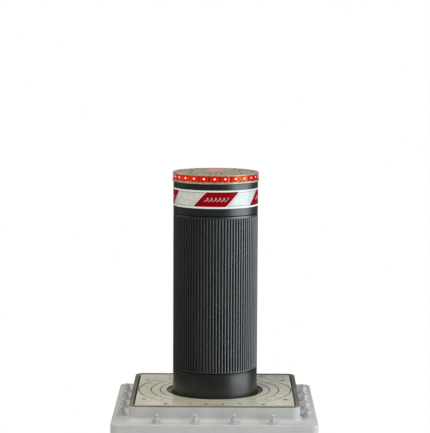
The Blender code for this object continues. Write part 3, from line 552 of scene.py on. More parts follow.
def band_film():
    made, tree, shader, place = new_material(
        "microprismatic film", "#D9DAD6", 0.32, Coat_Roughness=0.4
    )
    calc = partial(math_node, tree)
    angle, height, _ = around_axis(place)
    rise = calc("SUBTRACT", height, (BAND_LOW + BAND_HIGH) / 2)
    front = calc("ADD", angle, math.pi / 2 - math.radians(0.6))
    beyond = calc("GREATER_THAN", front, JOINT_AT)
    front = calc("MULTIPLY_ADD", beyond, JOINT_SHIFT, front)
    leant = calc("SUBTRACT", front, calc("MULTIPLY", rise, FIELD_LEAN))
    across = fold(calc("MULTIPLY", leant, FIELDS / math.tau))
    across = calc("MULTIPLY", across, POST_RADIUS * math.tau / FIELDS)
    to_edge = calc("SUBTRACT", calc("ABSOLUTE", across), HALF_RED)  # below 0 in a red field
    up = calc("ABSOLUTE", calc("ADD", rise, -0.5 * MM))

    # white film with its lattice, and red ink that hardly shines
    cells = {"Vector": place, "Scale": 1000 / 6}
    cells = add(tree, "TexVoronoi", cells, feature="DISTANCE_TO_EDGE")
    lattice = ramp(cells, [(0.02, 0.0), (0.10, 1.0)])
    cloud = grain(place, 16, 3)
    white = tones(cloud, "#BBBDB7", "#D4D5CF")
    red = tones(cloud, "#7E000C", "#8C0010")
    is_red = calc("LESS_THAN", to_edge, 0.0)
    drive(shader, "Coat Weight", calc("MULTIPLY_ADD", is_red, -0.8, 0.8))
    drive(shader, "Specular IOR Level", calc("MULTIPLY_ADD", is_red, -0.46, 0.5))
    colour = mix(is_red, mix(lattice, "#B4B6AF", white), red)

    # sealed edges beside each red field and along the borders
    sealed = calc("LESS_THAN", apart(to_edge, 1.8 * MM), 1.8 * MM)
    sealed = calc("MAXIMUM", sealed, calc("GREATER_THAN", up, BORDER_FROM))
    colour = mix(sealed, colour, "#CFDAD5")

    # chevrons, where the arc plus the height above the middle falls near a whole number of pitches
    point = calc("ADD", across, calc("ABSOLUTE", rise))
    stroke = fold(calc("MULTIPLY", point, 1 / CHEVRON_PITCH))
    mark = calc("LESS_THAN", calc("ABSOLUTE", stroke), 0.17)
    mark = calc("MULTIPLY", mark, calc("LESS_THAN", calc("ABSOLUTE", rise), CHEVRON_RISE))
    mark = calc("MULTIPLY", mark, calc("LESS_THAN", calc("ABSOLUTE", across), CHEVRON_SPAN))
    colour = mix(mark, colour, "#8FA69C")

    # grey lines inside the sealed edges
    upright = calc("LESS_THAN", apart(to_edge, 4.6 * MM), 0.7 * MM)
    upright = calc("MULTIPLY", upright, calc("LESS_THAN", up, BORDER_FROM))
    level = calc("LESS_THAN", apart(up, 21.2 * MM), 0.8 * MM)
    level = calc("MULTIPLY", level, calc("GREATER_THAN", to_edge, 4.0 * MM))
    colour = mix(calc("MAXIMUM", upright, level), colour, "#6C706C")
    drive(shader, "Base Color", colour)
    bump(shader, lattice, 0.05)
    return made


film = band_film()

# %% [markdown]
# ## Materials on the CAD solids
#
# Pieces whose CAD shape is already right, such as the columns, the ram and the power pack, keep it
# and take the finish of their slot.

# %% Dressing the CAD nodes
FINISH = {
    "anthracite_paint": anthracite,
    "cast_aluminium": aluminium,
    "red_lens": lens_red,
    "led_strip": moulded("lamp strip", "#B9772E", "#D08A35", 0.5),
    "band_film": film,
    "stainless_plate": stainless,
    "light_grey_steel": grey_paint,
    "galvanised_steel": zinc_sheet,
    "machined_steel": tool_steel,
    "chromed_steel": chrome,
    "black_rubber": rubber,
    "grey_wiper": wiper_felt,
    "white_nylon": nylon,
    "red_plastic": red_plug,
    "blue_grey_enamel": enamel,
    "grey_plastic": pvc,
}
for part in frame["record"]["subparts"]:
    solid = frame["nodes"][part["node"]]
    solid.data.materials.clear()
    solid.data.materials.append(FINISH[part["material_slot"]])
    smooth(solid.data)

# %% [markdown]
# ## The post's jacket
#
# The sleeve has 86 half-round ribs, milled to a few millimetres from each end. A rib's section is
# half an ellipse: 0.35 sin(lean) of the pitch sideways, and 2.4 mm x (1 - cos(lean)) deep. Between
# ribs lies a square groove. The plain collars lie flush with the ribs, and the open joints between
# them and the sleeve show as dark lines.

# %% Fluted sleeve
FLUTES = 86
RIB_DEPTH, GROOVE_DEEP = 2.4, 4.2  # millimetres below the crest
GROOVE_TURN = math.radians(-91.0)  # the angle of the groove that faces the front
SLEEVE_BORE = 129.3 * MM
low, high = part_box("fluted_sleeve")[0][2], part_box("fluted_sleeve")[1][2]
lean = np.linspace(-math.pi / 2, math.pi / 2, 13)
share = np.concatenate([0.35 * np.sin(lean), [0.356, 0.5]])
dip = np.concatenate([RIB_DEPTH * (1 - np.cos(lean)), [GROOVE_DEEP, GROOVE_DEEP]])
turns = GROOVE_TURN + (np.arange(FLUTES)[:, None] + 0.5 + share).ravel() * math.tau / FLUTES
depths = np.tile(dip, FLUTES) * MM
LOW_END = ((0.5, 0, 0), (0.15, 0.2, 0), (0, 0.6, 0), (0, 2.5, 0), (0, 4.0, 0.6), (0, 6.0, 1))
HIGH_END = ((0, 9.0, 1), (0, 7.0, 0.6), (0, 5.5, 0), (0, 0.6, 0), (0.15, 0.2, 0), (0.5, 0, 0))
levels = [(inset, low + rise * MM, milled) for inset, rise, milled in LOW_END]
levels.append((0, (low + high) / 2, 1))
levels += [(inset, high - drop * MM, milled) for inset, drop, milled in HIGH_END]
rows = []
for inset, height, milled in levels:
    rows.append(circle_row(POST_RADIUS - depths * milled - inset * MM, turns, height))
rows += [circle_row(SLEEVE_BORE, turns, height) for height in (high, low)]
piece("sleeve", [grid(np.array(rows))], "post", "anthracite_paint", ["fluted_sleeve"], rubbed_coat)

# %% Plain collars
low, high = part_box("lower_collar")[0][2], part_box("lower_collar")[1][2]
line = PAVING + 70 * MM  # a fine turned line near the collar's top
profile = [(SLEEVE_BORE, low), (POST_RADIUS, low, 0.8 * MM), (POST_RADIUS, line - 0.9 * MM)]
profile += [(POST_RADIUS - 0.7 * MM, line), (POST_RADIUS, line + 0.9 * MM)]
profile += [(POST_RADIUS, high, 0.4 * MM), (SLEEVE_BORE, high)]
piece("collar_below", lathe(profile, 256), "post", "anthracite_paint", ["lower_collar"])

low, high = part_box("upper_collar")[0][2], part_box("upper_collar")[1][2]
seat = POST_RADIUS - 1.0 * MM
profile = [(SLEEVE_BORE, low), (POST_RADIUS, low, 0.4 * MM)]
profile += [(POST_RADIUS, BAND_LOW - 0.3 * MM, 0.3 * MM), (seat, BAND_LOW - 0.3 * MM)]
profile += [(seat, BAND_HIGH + 0.3 * MM), (POST_RADIUS, BAND_HIGH + 0.3 * MM, 0.3 * MM)]
profile += [(POST_RADIUS, high, 1.2 * MM), (SLEEVE_BORE, high)]
piece("collar_above", lathe(profile, 256), "post", "anthracite_paint", ["upper_collar"])

# %% Reflective band
profile = [(seat + 0.3 * MM, BAND_LOW), (POST_RADIUS + 0.2 * MM, BAND_LOW, 0.4 * MM)]
profile += [(POST_RADIUS + 0.2 * MM, BAND_HIGH, 0.4 * MM), (seat + 0.3 * MM, BAND_HIGH)]
piece("band", lathe(profile, 256), "post", "band_film", ["reflective_band"])

# %% [markdown]
# ## The head
#
# The head is one aluminium casting. Its plug hole lies off the axis, so the rows of its top slide
# from the round rim's centre and radius to the hole's.

# %% Head casting
PLUG_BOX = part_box("release_plug")
PLUG_Y = (PLUG_BOX[0][1] + PLUG_BOX[1][1]) / 2
PLUG_RADIUS = (PLUG_BOX[1][0] - PLUG_BOX[0][0]) / 2
HEAD_LOW = HEAD_TOP - 29 * MM
SKIRT_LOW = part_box("head_cap")[0][2]
LENS_LOW, LENS_HIGH = HEAD_TOP - 23 * MM, HEAD_TOP - 4 * MM
HEAD_BORE, SKIRT_RADIUS, LENS_SEAT = 110 * MM, 122.5 * MM, 127 * MM
outer = [(HEAD_BORE, SKIRT_LOW), (SKIRT_RADIUS, SKIRT_LOW), (SKIRT_RADIUS, HEAD_LOW)]
outer += [(HEAD_RADIUS, HEAD_LOW, 1.0 * MM), (HEAD_RADIUS, LENS_LOW, 0.5 * MM)]
outer += [(LENS_SEAT, LENS_LOW), (LENS_SEAT, LENS_HIGH), (HEAD_RADIUS, LENS_HIGH, 0.5 * MM)]
outer += [(HEAD_RADIUS, HEAD_TOP, 3.0 * MM), (100 * MM, HEAD_TOP)]
outer = rounded(outer)[:-1]
COLUMNS = 192
rings = [turned([point], COLUMNS)[0] for point in outer]
hole = [(PLUG_RADIUS + 1.0 * MM, HEAD_TOP), (PLUG_RADIUS + 0.4 * MM, HEAD_TOP - 0.6 * MM)]
hole += [(PLUG_RADIUS + 0.4 * MM, HEAD_TOP - 8 * MM), (22 * MM, HEAD_TOP - 8 * MM)]
hole += [(22 * MM, HEAD_TOP - 12 * MM)]
edge = rings[-1]
mouth = turned([hole[0]], COLUMNS, (0, PLUG_Y))[0]
for share in np.linspace(0, 1, 9)[1:-1]:
    rings.append(edge * (1 - share) + mouth * share)
rings += [turned([point], COLUMNS, (0, PLUG_Y))[0] for point in hole]
rings.append(turned([(HEAD_BORE, HEAD_TOP - 12 * MM)], COLUMNS)[0])
piece("head", [grid(np.array(rings))], "post", "cast_aluminium", ["head_cap"])

# %% [markdown]
# The strip of lamps is a narrow ring behind the lens. The lens swells a little over each lamp: its
# outer wall is the lens radius plus a bell curve around each lamp.

# %% Lamp strip and lens
low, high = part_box("led_lens")[0][2] + 0.2 * MM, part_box("led_lens")[1][2] - 0.2 * MM
profile = [(127.4 * MM, low), (STRIP_RADIUS, low), (STRIP_RADIUS, high), (127.4 * MM, high)]
piece("lamp_strip", lathe(profile, 192), "post", "led_strip", ["led_strip"], lamp_glow)


def lens_wall(radius, heights, angle):
    """Radius + 0.5 mm x exp(-(distance to the nearest lamp / 5 mm)^2), for each height and angle."""
    share = (angle - LED_TURN) * LED_COUNT / math.tau
    arc = (share - np.round(share)) * HEAD_RADIUS * math.tau / LED_COUNT
    rise = heights - LED_HEIGHT
    bulge = 0.5 * MM * np.exp(-(arc**2 + rise**2) / (5 * MM) ** 2)
    return circle_row(radius + bulge, angle, heights)


low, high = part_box("led_lens")[0][2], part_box("led_lens")[1][2]
LENS_COLUMNS = 720
LENS_BORE, LENS_EDGE = 132.5 * MM, 136.6 * MM
angle = around(LENS_COLUMNS, LED_TURN)
heights = np.linspace(low + 0.4 * MM, high - 0.4 * MM, 19)[:, None]
face = lens_wall(HEAD_RADIUS - 0.5 * MM, heights, angle)
foot = circle_row(LENS_EDGE, angle, low)[None]
back = [(LENS_EDGE, high), (LENS_BORE, high), (LENS_BORE, low)]
back = np.array([circle_row(radius, angle, height) for radius, height in back])
piece("lens", [grid(np.concatenate([foot, face, back]))], "post", "red_lens", ["led_lens"])

# %% [markdown]
# ## Red plug and small screws in the head
#
# A quarter turn frees the plug over the release valve. It has one slot for a coin. Around it stand
# dark socket screws, a millimetre proud.

# %% Release plug
def box_part(low, high):
    """The eight corners and six faces of an upright box."""
    x, y, z = zip(low, high)
    corners = [(x[i], y[j], z[k]) for k in (0, 1) for j in (0, 1) for i in (0, 1)]
    faces = [[0, 2, 3, 1], [4, 5, 7, 6], [0, 1, 5, 4], [2, 6, 7, 3], [0, 4, 6, 2], [1, 3, 7, 5]]
    return np.array(corners), faces


profile = [(21.6 * MM, PLUG_BOX[0][2]), (21.6 * MM, HEAD_TOP - 5.8 * MM)]
profile += [(PLUG_RADIUS, HEAD_TOP - 5.8 * MM), (PLUG_RADIUS, HEAD_TOP, 0.8 * MM)]
profile += [(12 * MM, HEAD_TOP)]
disc = [grid(turned(rounded(profile)[:-1], 96, (0, PLUG_Y)), ring=False)]
plug = piece("coin_plug", disc, "plug", "red_plastic", ["release_plug"])
slot_low = (-1.5 * MM, PLUG_Y - 19 * MM, HEAD_TOP - 3 * MM)
slot_high = (1.5 * MM, PLUG_Y + 19 * MM, HEAD_TOP + 5 * MM)
cut(plug, [box_part(slot_low, slot_high)])

# %% Socket screws
def hexagon_reach(angle, flat):
    """Distance from a hexagon's middle to its side along each ray: the flat's distance over the
    cosine of the angle from the middle of the nearest flat."""
    turn = math.pi / 3
    return flat / np.cos((angle + turn / 2) % turn - turn / 2)


def socket_screw(centre, top, head_radius, socket_radius, depth, length, columns=24):
    """A countersunk head with a hexagon socket: rings from the shank's end up to the head's edge,
    then in to the socket and down to its floor."""
    shank, edge = 0.48 * head_radius, 0.25 * MM
    outside = [(shank, top - length), (shank, top - 0.55 * head_radius), (head_radius, top - edge)]
    outside += [(head_radius - edge, top), (socket_radius * 1.25, top)]
    rings = turned(outside, columns, centre)
    angle = around(columns)
    inner = hexagon_reach(angle, socket_radius * math.cos(math.pi / 6))
    walls = [circle_row(inner, angle, level, centre) for level in (top - 0.15 * MM, top - depth)]
    return grid(np.concatenate([rings, np.array(walls)]), ring=False)


HEAD_SCREWS = [(0, -84)]
for x, y in ((17.5, -76), (80, -70), (77, 18), (116, 3), (60, 95)):
    HEAD_SCREWS += [(-x, y), (x, y)]
screws = [
    socket_screw((x * MM, y * MM), HEAD_TOP + 1.0 * MM, 4.2 * MM, 2.0 * MM, 1.8 * MM, 7 * MM)
    for x, y in HEAD_SCREWS
]
piece("head_screws", screws, "post", "machined_steel", material=black_steel)

# %% [markdown]
# ## Cover plate
#
# The plate is engraved with three circles and, around the second, radial ticks. It is a grid of rays
# and rows: the rows keep one radius out to the largest circle, then spread to the square edge. Rows
# in a groove are lowered.

# %% Engraved plate
def square_reach(angle, half, corner):
    """Distance from the centre to a rounded square's edge along each ray: half over the larger of
    |cos| and |sin|, or, in a corner, where the ray meets the corner's circle."""
    a, b = np.abs(np.cos(angle)), np.abs(np.sin(angle))
    straight = half / np.maximum(a, b)
    inner = half - corner
    along = inner * (a + b)
    arc = along + np.sqrt(np.maximum(along**2 - 2 * inner**2 + corner**2, 0))
    in_corner = (straight * a > inner) & (straight * b > inner)
    return np.where(in_corner, arc, straight)


PLATE_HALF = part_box("cover_plate")[1][0]
PLATE_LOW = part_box("cover_plate")[0][2]
PLATE_CORNER = 11 * MM
HOLE = 154.5 * MM
CIRCLES = (176 * MM, 205.5 * MM, 244.5 * MM)
GROOVE_HALF, GROOVE_DEPTH = 2.1 * MM, 1.4 * MM
RAYS = 1440
TICK_PITCH, TICK_HALF = math.tau / 27, math.radians(0.5)
TICKS_FROM, TICKS_TO = 211.5 * MM, 238.5 * MM
angle = around(RAYS)
reach = square_reach(angle, PLATE_HALF, PLATE_CORNER)
tick_share = (angle + math.pi / 2) / TICK_PITCH - 0.5
is_tick = np.abs(tick_share - np.round(tick_share)) * TICK_PITCH < TICK_HALF
rows = [(HOLE, PLATE_LOW), (HOLE, PAVING - 1.0 * MM), (HOLE + 0.3 * MM, PAVING - 0.3 * MM)]
rows += [(HOLE + 1.0 * MM, PAVING), (165 * MM, PAVING)]
for circle, flats in zip(CIRCLES, ((190,), (211, 212, 218, 225, 232, 238, 239), ())):
    rows += [
        (circle - GROOVE_HALF - 0.3 * MM, PAVING),
        (circle - GROOVE_HALF, PAVING),
        (circle - 0.6 * GROOVE_HALF, PAVING - GROOVE_DEPTH),
        (circle + 0.6 * GROOVE_HALF, PAVING - GROOVE_DEPTH),
        (circle + GROOVE_HALF, PAVING),
        (circle + GROOVE_HALF + 0.3 * MM, PAVING),
    ]
    rows += [(flat * MM, PAVING) for flat in flats]
rings = []
for radius, height in rows:
    ticked = is_tick & (TICKS_FROM < radius < TICKS_TO)
    rings.append(circle_row(radius, angle, height - GROOVE_DEPTH * ticked))
last = rows[-1][0]
for share in (0.0, 0.25, 0.5, 0.75, 1.0):
    radius = (last + 0.4 * MM) * (1 - share) + (reach - 1.4 * MM) * share
    rings.append(circle_row(radius, angle, PAVING))
for inset, drop in ((0.9, 0.1), (0.25, 0.5), (0, 1.2)):
    rings.append(circle_row(reach - inset * MM, angle, PAVING - drop * MM))
rings.append(circle_row(reach, angle, PLATE_LOW))
sheet = [grid(np.array(rings)[::-1, ::-1])]
plate = piece("engraved_plate", sheet, "ground_unit", "stainless_plate", ["cover_plate"])

# %% Countersinks and cover screws
SCREW_NODES = [f"cover_screw_{number}" for number in range(1, 9)]
SCREWS = []
for node in SCREW_NODES:
    low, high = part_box(node)
    SCREWS.append(((low[0] + high[0]) / 2, (low[1] + high[1]) / 2))
sink = [(4.6 * MM, PLATE_LOW - MM), (4.6 * MM, PAVING - 4.5 * MM), (9.3 * MM, PAVING + 0.2 * MM)]
cut(plate, [grid(turned(sink, 32, centre), ring=False) for centre in SCREWS])
screws = [
    socket_screw(centre, PAVING - 0.4 * MM, 8.2 * MM, 3.4 * MM, 3.5 * MM, 27 * MM)
    for centre in SCREWS
]
piece("cover_screws", screws, "ground_unit", "machined_steel", SCREW_NODES)

# %% [markdown]
# Short raised bars in the plate's corners keep a shoe from slipping. Each is a cross-section with
# sloping sides, carried along an arc and drawn in at both ends.

# %% Anti-slip bars
def arc_bar(radius, middle, length, width=3.4 * MM, height=0.9 * MM, steps=8):
    """Rows along the arc; across it, the outline is foot, crest, crest, foot."""
    along = np.linspace(-0.5, 0.5, steps)
    size = np.sqrt(np.clip(1 - (2 * along) ** 4, 0.03, 1))[:, None]
    angle = middle + along[:, None] * length / radius
    across = np.array([-0.5, -0.28, 0.28, 0.5]) * width * size
    rise = np.array([-0.1 * MM, height, height, -0.1 * MM]) * np.ones_like(size)
    return grid(circle_row(radius + across, angle, PAVING + rise)[:, ::-1], ring=False)


bars = []
for corner in np.radians([45, 135, 225, 315]):
    for radius, offsets, length in (
        (226, (-11, 11), 22),
        (264, (-7.5, 7.5), 26),
        (285, (-10, 0, 10), 24),
        (306, (-2.6, 2.6), 20),
    ):
        bars += [arc_bar(radius * MM, corner + math.radians(turn), length * MM) for turn in offsets]
piece("anti_slip_bars", bars, "ground_unit", "stainless_plate")

# %% [markdown]
# ## Wiper ring
#
# A ring with a sloping lip fills the gap between the plate and the post, and keeps grit out.

# %% Wiper
low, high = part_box("wiper_ring")[0][2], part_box("wiper_ring")[1][2]
profile = [(138.5 * MM, low), (152.8 * MM, low), (152.8 * MM, high, 0.5 * MM)]
profile += [(149 * MM, high, 1.0 * MM), (140 * MM, high - 2.2 * MM, 0.4 * MM)]
profile += [(138.5 * MM, high - 3.2 * MM)]
piece("wiper", lathe(profile, 256), "ground_unit", "grey_wiper", ["wiper_ring"])

# %% [markdown]
# ## Ground frame
#
# The frame is an upstand with a bolting foot, whose edge is turned down. Its profile is carried
# round a rounded square, with slightly smaller corners further out. The top edge is weathered steel
# with two drawn grooves, and the rest light grey.

# %% Frame and rim
FRAME_LOW, FRAME_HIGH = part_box("top_frame")[0][2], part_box("top_frame")[1][2]
FLANGE_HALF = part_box("top_frame")[1][0]
FOOT_TOP = PAVING - 46 * MM
FOOT_UNDER = FOOT_TOP - 10 * MM
SKIRT_INNER = FLANGE_HALF - 8 * MM
RIM_INNER = PLATE_HALF + 6 * MM
RIM_OUTER = RIM_INNER + 11.5 * MM
RIM_LOW = FRAME_HIGH - 3.0 * MM
neck = [(RIM_INNER, FRAME_LOW), (RIM_OUTER, FRAME_LOW), (RIM_OUTER, FOOT_UNDER)]
neck += [(SKIRT_INNER, FOOT_UNDER, 3.0 * MM), (SKIRT_INNER, FRAME_LOW)]
neck += [(FLANGE_HALF, FRAME_LOW, 1.0 * MM), (FLANGE_HALF, FOOT_TOP, 3.5 * MM)]
neck += [(RIM_OUTER, FOOT_TOP, 11.0 * MM), (RIM_OUTER, RIM_LOW, 1.8 * MM), (RIM_INNER, RIM_LOW)]
neck = [grid(square_sweep(rounded(neck, steps=7), 28 * MM, -0.08))]
piece("frame_neck", neck, "ground_unit", "light_grey_steel", ["top_frame"])


def groove(across):
    """A shallow V along the rim's top, 2 mm wide and 1.2 mm deep."""
    return [(across + MM, FRAME_HIGH), (across, FRAME_HIGH - 1.2 * MM), (across - MM, FRAME_HIGH)]


rim = [(RIM_INNER, RIM_LOW + 0.2 * MM), (RIM_OUTER, RIM_LOW + 0.2 * MM)]
rim += [(RIM_OUTER, FRAME_HIGH, 1.0 * MM), *groove(RIM_OUTER - 4 * MM)]
rim += [*groove(RIM_OUTER - 7.5 * MM), (RIM_INNER, FRAME_HIGH, 0.6 * MM)]
rim = [grid(square_sweep(rounded(rim), 17 * MM))]
piece("frame_rim", rim, "ground_unit", "light_grey_steel", material=rim_steel)
LEDGE_INNER, LEDGE_OUTER = 212 * MM, RIM_INNER - 0.3 * MM
LEDGE_LOW, LEDGE_HIGH = PAVING - 28.6 * MM, PAVING - 18.6 * MM
ledge = [(LEDGE_INNER, LEDGE_LOW), (LEDGE_OUTER, LEDGE_LOW), (LEDGE_OUTER, LEDGE_HIGH)]
ledge += [(LEDGE_INNER, LEDGE_HIGH, 1.0 * MM)]
ledge = [grid(square_sweep(rounded(ledge), 8 * MM))]
piece("frame_ledge", ledge, "ground_unit", "light_grey_steel")

# %% [markdown]
# ## Casing flange, studs, washers and nuts
#
# Sixteen studs stand in the casing's flange, and clamp the frame's foot. A nut is a hexagon whose
# corners are chamfered: its ends drop where a point lies beyond a circle on the flats.

# %% Casing flange
CASING_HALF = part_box("casing_shell")[1][1]
FLANGE_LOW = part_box("casing_flange")[0][2]
FLANGE_TOP = FLANGE_LOW + 10 * MM
FLANGE_INNER = CASING_HALF + 0.3 * MM
flange = [(FLANGE_INNER, FLANGE_LOW), (FLANGE_HALF, FLANGE_LOW, 2.0 * MM)]
flange += [(FLANGE_HALF, FLANGE_TOP, 1.0 * MM), (FLANGE_INNER, FLANGE_TOP)]
flange = [grid(square_sweep(rounded(flange), 8 * MM, 0.3))]
piece("flange", flange, "ground_unit", "light_grey_steel", ["casing_flange"])

# %% Studs, washers and nuts
def hexagon_nut(centre, low, height, across_flats, bore, columns=48):
    """Rings up the hexagon's side. The end rings are held inside a circle to chamfer the corners."""
    angle = around(columns)
    flat = across_flats / 2
    side = hexagon_reach(angle, flat)
    chamfer = np.minimum(side, flat * 0.98)
    drop = (side - chamfer) * 0.55
    high = low + height
    outline = [(bore, low), (chamfer, low), (side, low + drop)]
    outline += [(side, high - drop), (chamfer, high), (bore, high)]
    return grid(np.array([circle_row(radius, angle, level, centre) for radius, level in outline]))


def threaded_stud(centre, low, high, radius, pitch=2.0 * MM):
    """A plain shank, then grooves a thread's pitch apart, and a domed end."""
    profile = [(radius, low)]
    dome = 4 * MM
    for height in np.arange(THREAD_FROM, high - dome, pitch):
        profile += [(radius, height), (radius - 0.9 * MM, height + 0.5 * pitch)]
    for lean in np.linspace(0, math.pi / 2, 6)[:-1]:
        profile.append((radius * math.cos(lean), high - dome + dome * math.sin(lean)))
    return grid(turned(profile, 24, centre), ring=False)


STUD_PITCH, STUD_LINE, STUD_RADIUS = 120 * MM, 292 * MM, 6.5 * MM
THREAD_FROM, STUD_TOP = FOOT_TOP + 18 * MM, FOOT_TOP + 29 * MM
WASHER_BORE, WASHER_RADIUS = 8.6 * MM, 17 * MM
WASHER_LOW, WASHER_TOP = FOOT_TOP + 0.1 * MM, FOOT_TOP + 3.5 * MM
NUT_LOW, NUT_HEIGHT = FOOT_TOP + 3.6 * MM, 15.5 * MM
NUT_FLATS, NUT_BORE = 22 * MM, 7.2 * MM
places = []
for share in (-1.5, -0.5, 0.5, 1.5):
    step = share * STUD_PITCH
    places += [(step, -STUD_LINE), (step, STUD_LINE), (-STUD_LINE, step), (STUD_LINE, step)]
washer = [(WASHER_BORE, WASHER_LOW), (WASHER_RADIUS, WASHER_LOW, 0.6 * MM)]
washer += [(WASHER_RADIUS, WASHER_TOP, 1.2 * MM), (WASHER_BORE, WASHER_TOP)]
bare_zinc = painted_steel("passivated zinc", "#AAA9A5", "#B9B7B2", 0.4, 2.0, 0.01)
painted_bolts = painted_steel(
    "light grey painted fasteners", "#A8A9A9", "#B5B5B5", 0.45, 2.0, 0.01
)
washers = [part for centre in places for part in lathe(washer, 48, centre)]
nuts = [hexagon_nut(centre, NUT_LOW, NUT_HEIGHT, NUT_FLATS, NUT_BORE) for centre in places]
studs = [
    threaded_stud(centre, FLANGE_TOP + 0.1 * MM, STUD_TOP, STUD_RADIUS) for centre in places
]
piece("flange_washers", washers, "ground_unit", "machined_steel", material=painted_bolts)
piece("flange_nuts", nuts, "ground_unit", "machined_steel", material=painted_bolts)
piece("flange_studs", studs, "ground_unit", "machined_steel", material=bare_zinc)

# %% [markdown]
# ## Buried casing
#
# The casing is 4 mm sheet. Three shallow swages keep the soil from buckling its flat walls. They are
# bell curves in the profile, carried round the rounded square.

# %% Casing shell
CASING_LOW, CASING_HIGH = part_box("casing_shell")[0][2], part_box("casing_shell")[1][2]
SHEET = 4 * MM
CORNER_INSET = 60 * MM  # how far the rows of the bottom reach in from the wall
SWAGE_DEPTH, SWAGE_WIDTH, SWAGE_RISES = 3.0 * MM, 13 * MM, (0.27, 0.54, 0.81)
heights = np.linspace(CASING_LOW + 12 * MM, CASING_HIGH, 160)
swages = sum(
    np.exp(-(((heights - CASING_LOW - rise) / SWAGE_WIDTH) ** 2)) for rise in SWAGE_RISES
)
outside = np.column_stack([CASING_HALF - SWAGE_DEPTH * swages, heights])
foot = [(CASING_HALF - CORNER_INSET, CASING_LOW), (CASING_HALF, CASING_LOW, 6 * MM)]
foot += [(CASING_HALF, CASING_LOW + 11 * MM)]
foot = rounded(foot)
inside = outside[::-1] - (SHEET, 0)
floor_level = CASING_LOW + SHEET
floor_ring = [(CASING_HALF - SHEET, floor_level), (CASING_HALF - CORNER_INSET, floor_level)]
profile = np.concatenate([foot, outside, inside, floor_ring])
shell = grid(square_sweep(profile, 8 * MM), ring=False)
casing = piece("casing", [shell], "ground_unit", "galvanised_steel", ["casing_shell"])

# %% [markdown]
# ## Drain and conduit
#
# Two sockets pass through the casing's wall: one lets rain water out, the other lets cables in.

# %% Pipes through the wall
def laid(points, centre, axis):
    """Turns an upright shape onto the X or the Y axis, and moves it to its place."""
    x, y, z = points[..., 0], points[..., 1], points[..., 2]
    lying = (z, x, y) if axis == "X" else (y, z, x)
    return np.stack(lying, axis=-1) + centre


def socket_profile(bore, outer, length):
    neck = outer - 1.2 * MM
    outline = [(bore, 0), (neck, 0), (neck, length - 16 * MM, 2 * MM)]
    outline += [(outer, length - 14 * MM, 2 * MM), (outer, length, MM), (bore, length, MM)]
    return rounded(outline)


WALL_INNER, WALL_OUTER = -30 * MM, 40 * MM  # how far a hole reaches along its pipe
PIPES = (("drain", "drain_pipe", "X", 4 * MM), ("conduit", "conduit_pipe", "Y", 3 * MM))
for name, node, axis, wall in PIPES:
    low, high = np.array(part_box(node)[0]), np.array(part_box(node)[1])
    along = "XY".index(axis)
    outer = (high[2] - low[2]) / 2
    centre = (low + high) / 2
    centre[along] = low[along]
    tube = turned(socket_profile(outer - wall, outer, high[along] - low[along]), 64)
    hole = turned([(outer - MM, WALL_INNER), (outer - MM, WALL_OUTER)], 64)
    cut(casing, [grid(laid(hole, centre, axis), ring=False)])
    piece(name, [grid(laid(tube, centre, axis))], "ground_unit", "grey_plastic", [node])

# %% [markdown]
# ## Floor, light and camera
#
# The floor is a plain pale disc. A wide soft light on the right gives the post its upright
# highlight. Another hangs in front, and is kept out of reflections. A dim card on the left lifts the
# shaded side, and one behind is reflected in the cover plate. The sky is white to the camera, and
# dimmer as a light and in reflections.

# %% Floor
FLOOR_RADIUS, FLOOR_DEPTH = 3.0, 0.03
floor_points = turned([(FLOOR_RADIUS, -FLOOR_DEPTH), (FLOOR_RADIUS, 0.0)], 128)
floor_mesh = mesh_of("floor", [grid(floor_points, ring=False)])
floor = new_object("floor", floor_mesh)
paper, _, shader, place = new_material("pale studio floor", "#F2F2F0", 0.9)
cloud = grain(place, 400, 2)
drive(shader, "Base Color", ramp(cloud, [(0, "#EEEEEC"), (1, "#F4F4F2")]))
floor_mesh.materials.append(paper)

# %% Light
def facing(place, aim, roll=0.0):
    """The matrix of a thing that stands at a place, looks along aim, and is rolled by an angle."""
    side = np.cross(aim, (0, 0, 1))
    side /= np.linalg.norm(side)
    up = np.cross(side, aim)
    c, s = math.cos(roll), math.sin(roll)
    matrix = np.eye(4)
    matrix[:3] = np.column_stack([c * side + s * up, c * up - s * side, -aim, place])
    return Matrix(matrix.tolist())


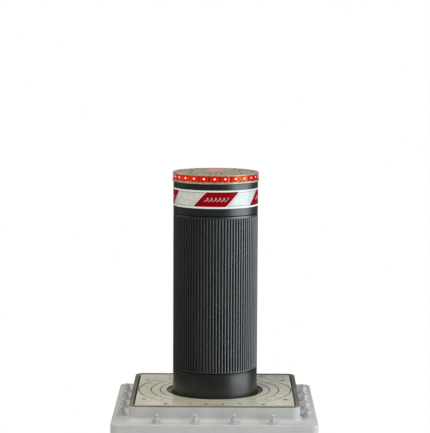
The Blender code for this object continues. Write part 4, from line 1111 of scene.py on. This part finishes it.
def soft_light(name, place, target, size, power, colour, mirrored=True):
    """An area light facing its target, unseen by the camera; size in metres, power in watts."""
    light = bpy.data.lights.new(name, "AREA")
    light.shape = "RECTANGLE"
    light.size, light.size_y = size
    light.energy = power
    light.color = linear(colour)[:3]
    made = new_object(name, light)
    aim = np.array(target, float) - place
    made.matrix_world = facing(place, aim / np.linalg.norm(aim))
    made.visible_camera = False
    made.visible_glossy = mirrored


look = (0, 0, PAVING + 0.35)
soft_light("right softbox", (2.95, -0.92, PAVING + 0.75), look, (3.2, 3.0), 115, "#E7F2FA")
soft_light("overhead", (-1.3, -1.8, PAVING + 3.7), look, (2.4, 2.4), 140, "#FFFBF2", mirrored=False)
soft_light("left card", (-2.6, 0.7, PAVING + 1.5), look, (1.8, 2.4), 4.5, "#FFFFF0")
soft_light("back card", (0.0, 4.5, PAVING + 0.8), look, (3.4, 1.6), 8, "#FFFFFF")

world = bpy.data.worlds.new("studio sky")
bpy.context.scene.world = world
world.use_nodes = True
tree = world.node_tree
sky = tree.nodes["Background"]
ray = add(tree, "LightPath")
SKY_LIGHT, SKY_REFLECTED = 0.42, 0.08
dim = add(tree, "MapRange", {0: ray.outputs["Is Glossy Ray"], 3: SKY_LIGHT, 4: SKY_REFLECTED})
strength = math_node(tree, "MAXIMUM", dim, ray.outputs["Is Camera Ray"])
sky.inputs["Color"].default_value = (1, 1, 1, 1)
tree.links.new(strength.outputs[0], sky.inputs["Strength"])
bpy.context.scene.view_settings.view_transform = "Standard"

# %% [markdown]
# The camera stands 6 m away and a little above the head, with a long lens, so that uprights stay
# upright. It is rolled by a quarter of a degree.

# %% Camera
DISTANCE, FOCAL_MM = 6.048, 157.5
ELEVATION, AZIMUTH, ROLL = math.radians(6.393), math.radians(0.174), math.radians(0.258)
target = np.array([-0.0019, 0, PAVING + 0.5614])
level = math.cos(ELEVATION)
away = np.array([math.sin(AZIMUTH) * level, -math.cos(AZIMUTH) * level, math.sin(ELEVATION)])
camera = new_object("camera", bpy.data.cameras.new("camera"))
camera.data.lens = FOCAL_MM
camera.matrix_world = facing(target + away * DISTANCE, -away, ROLL)
bpy.context.scene.camera = camera
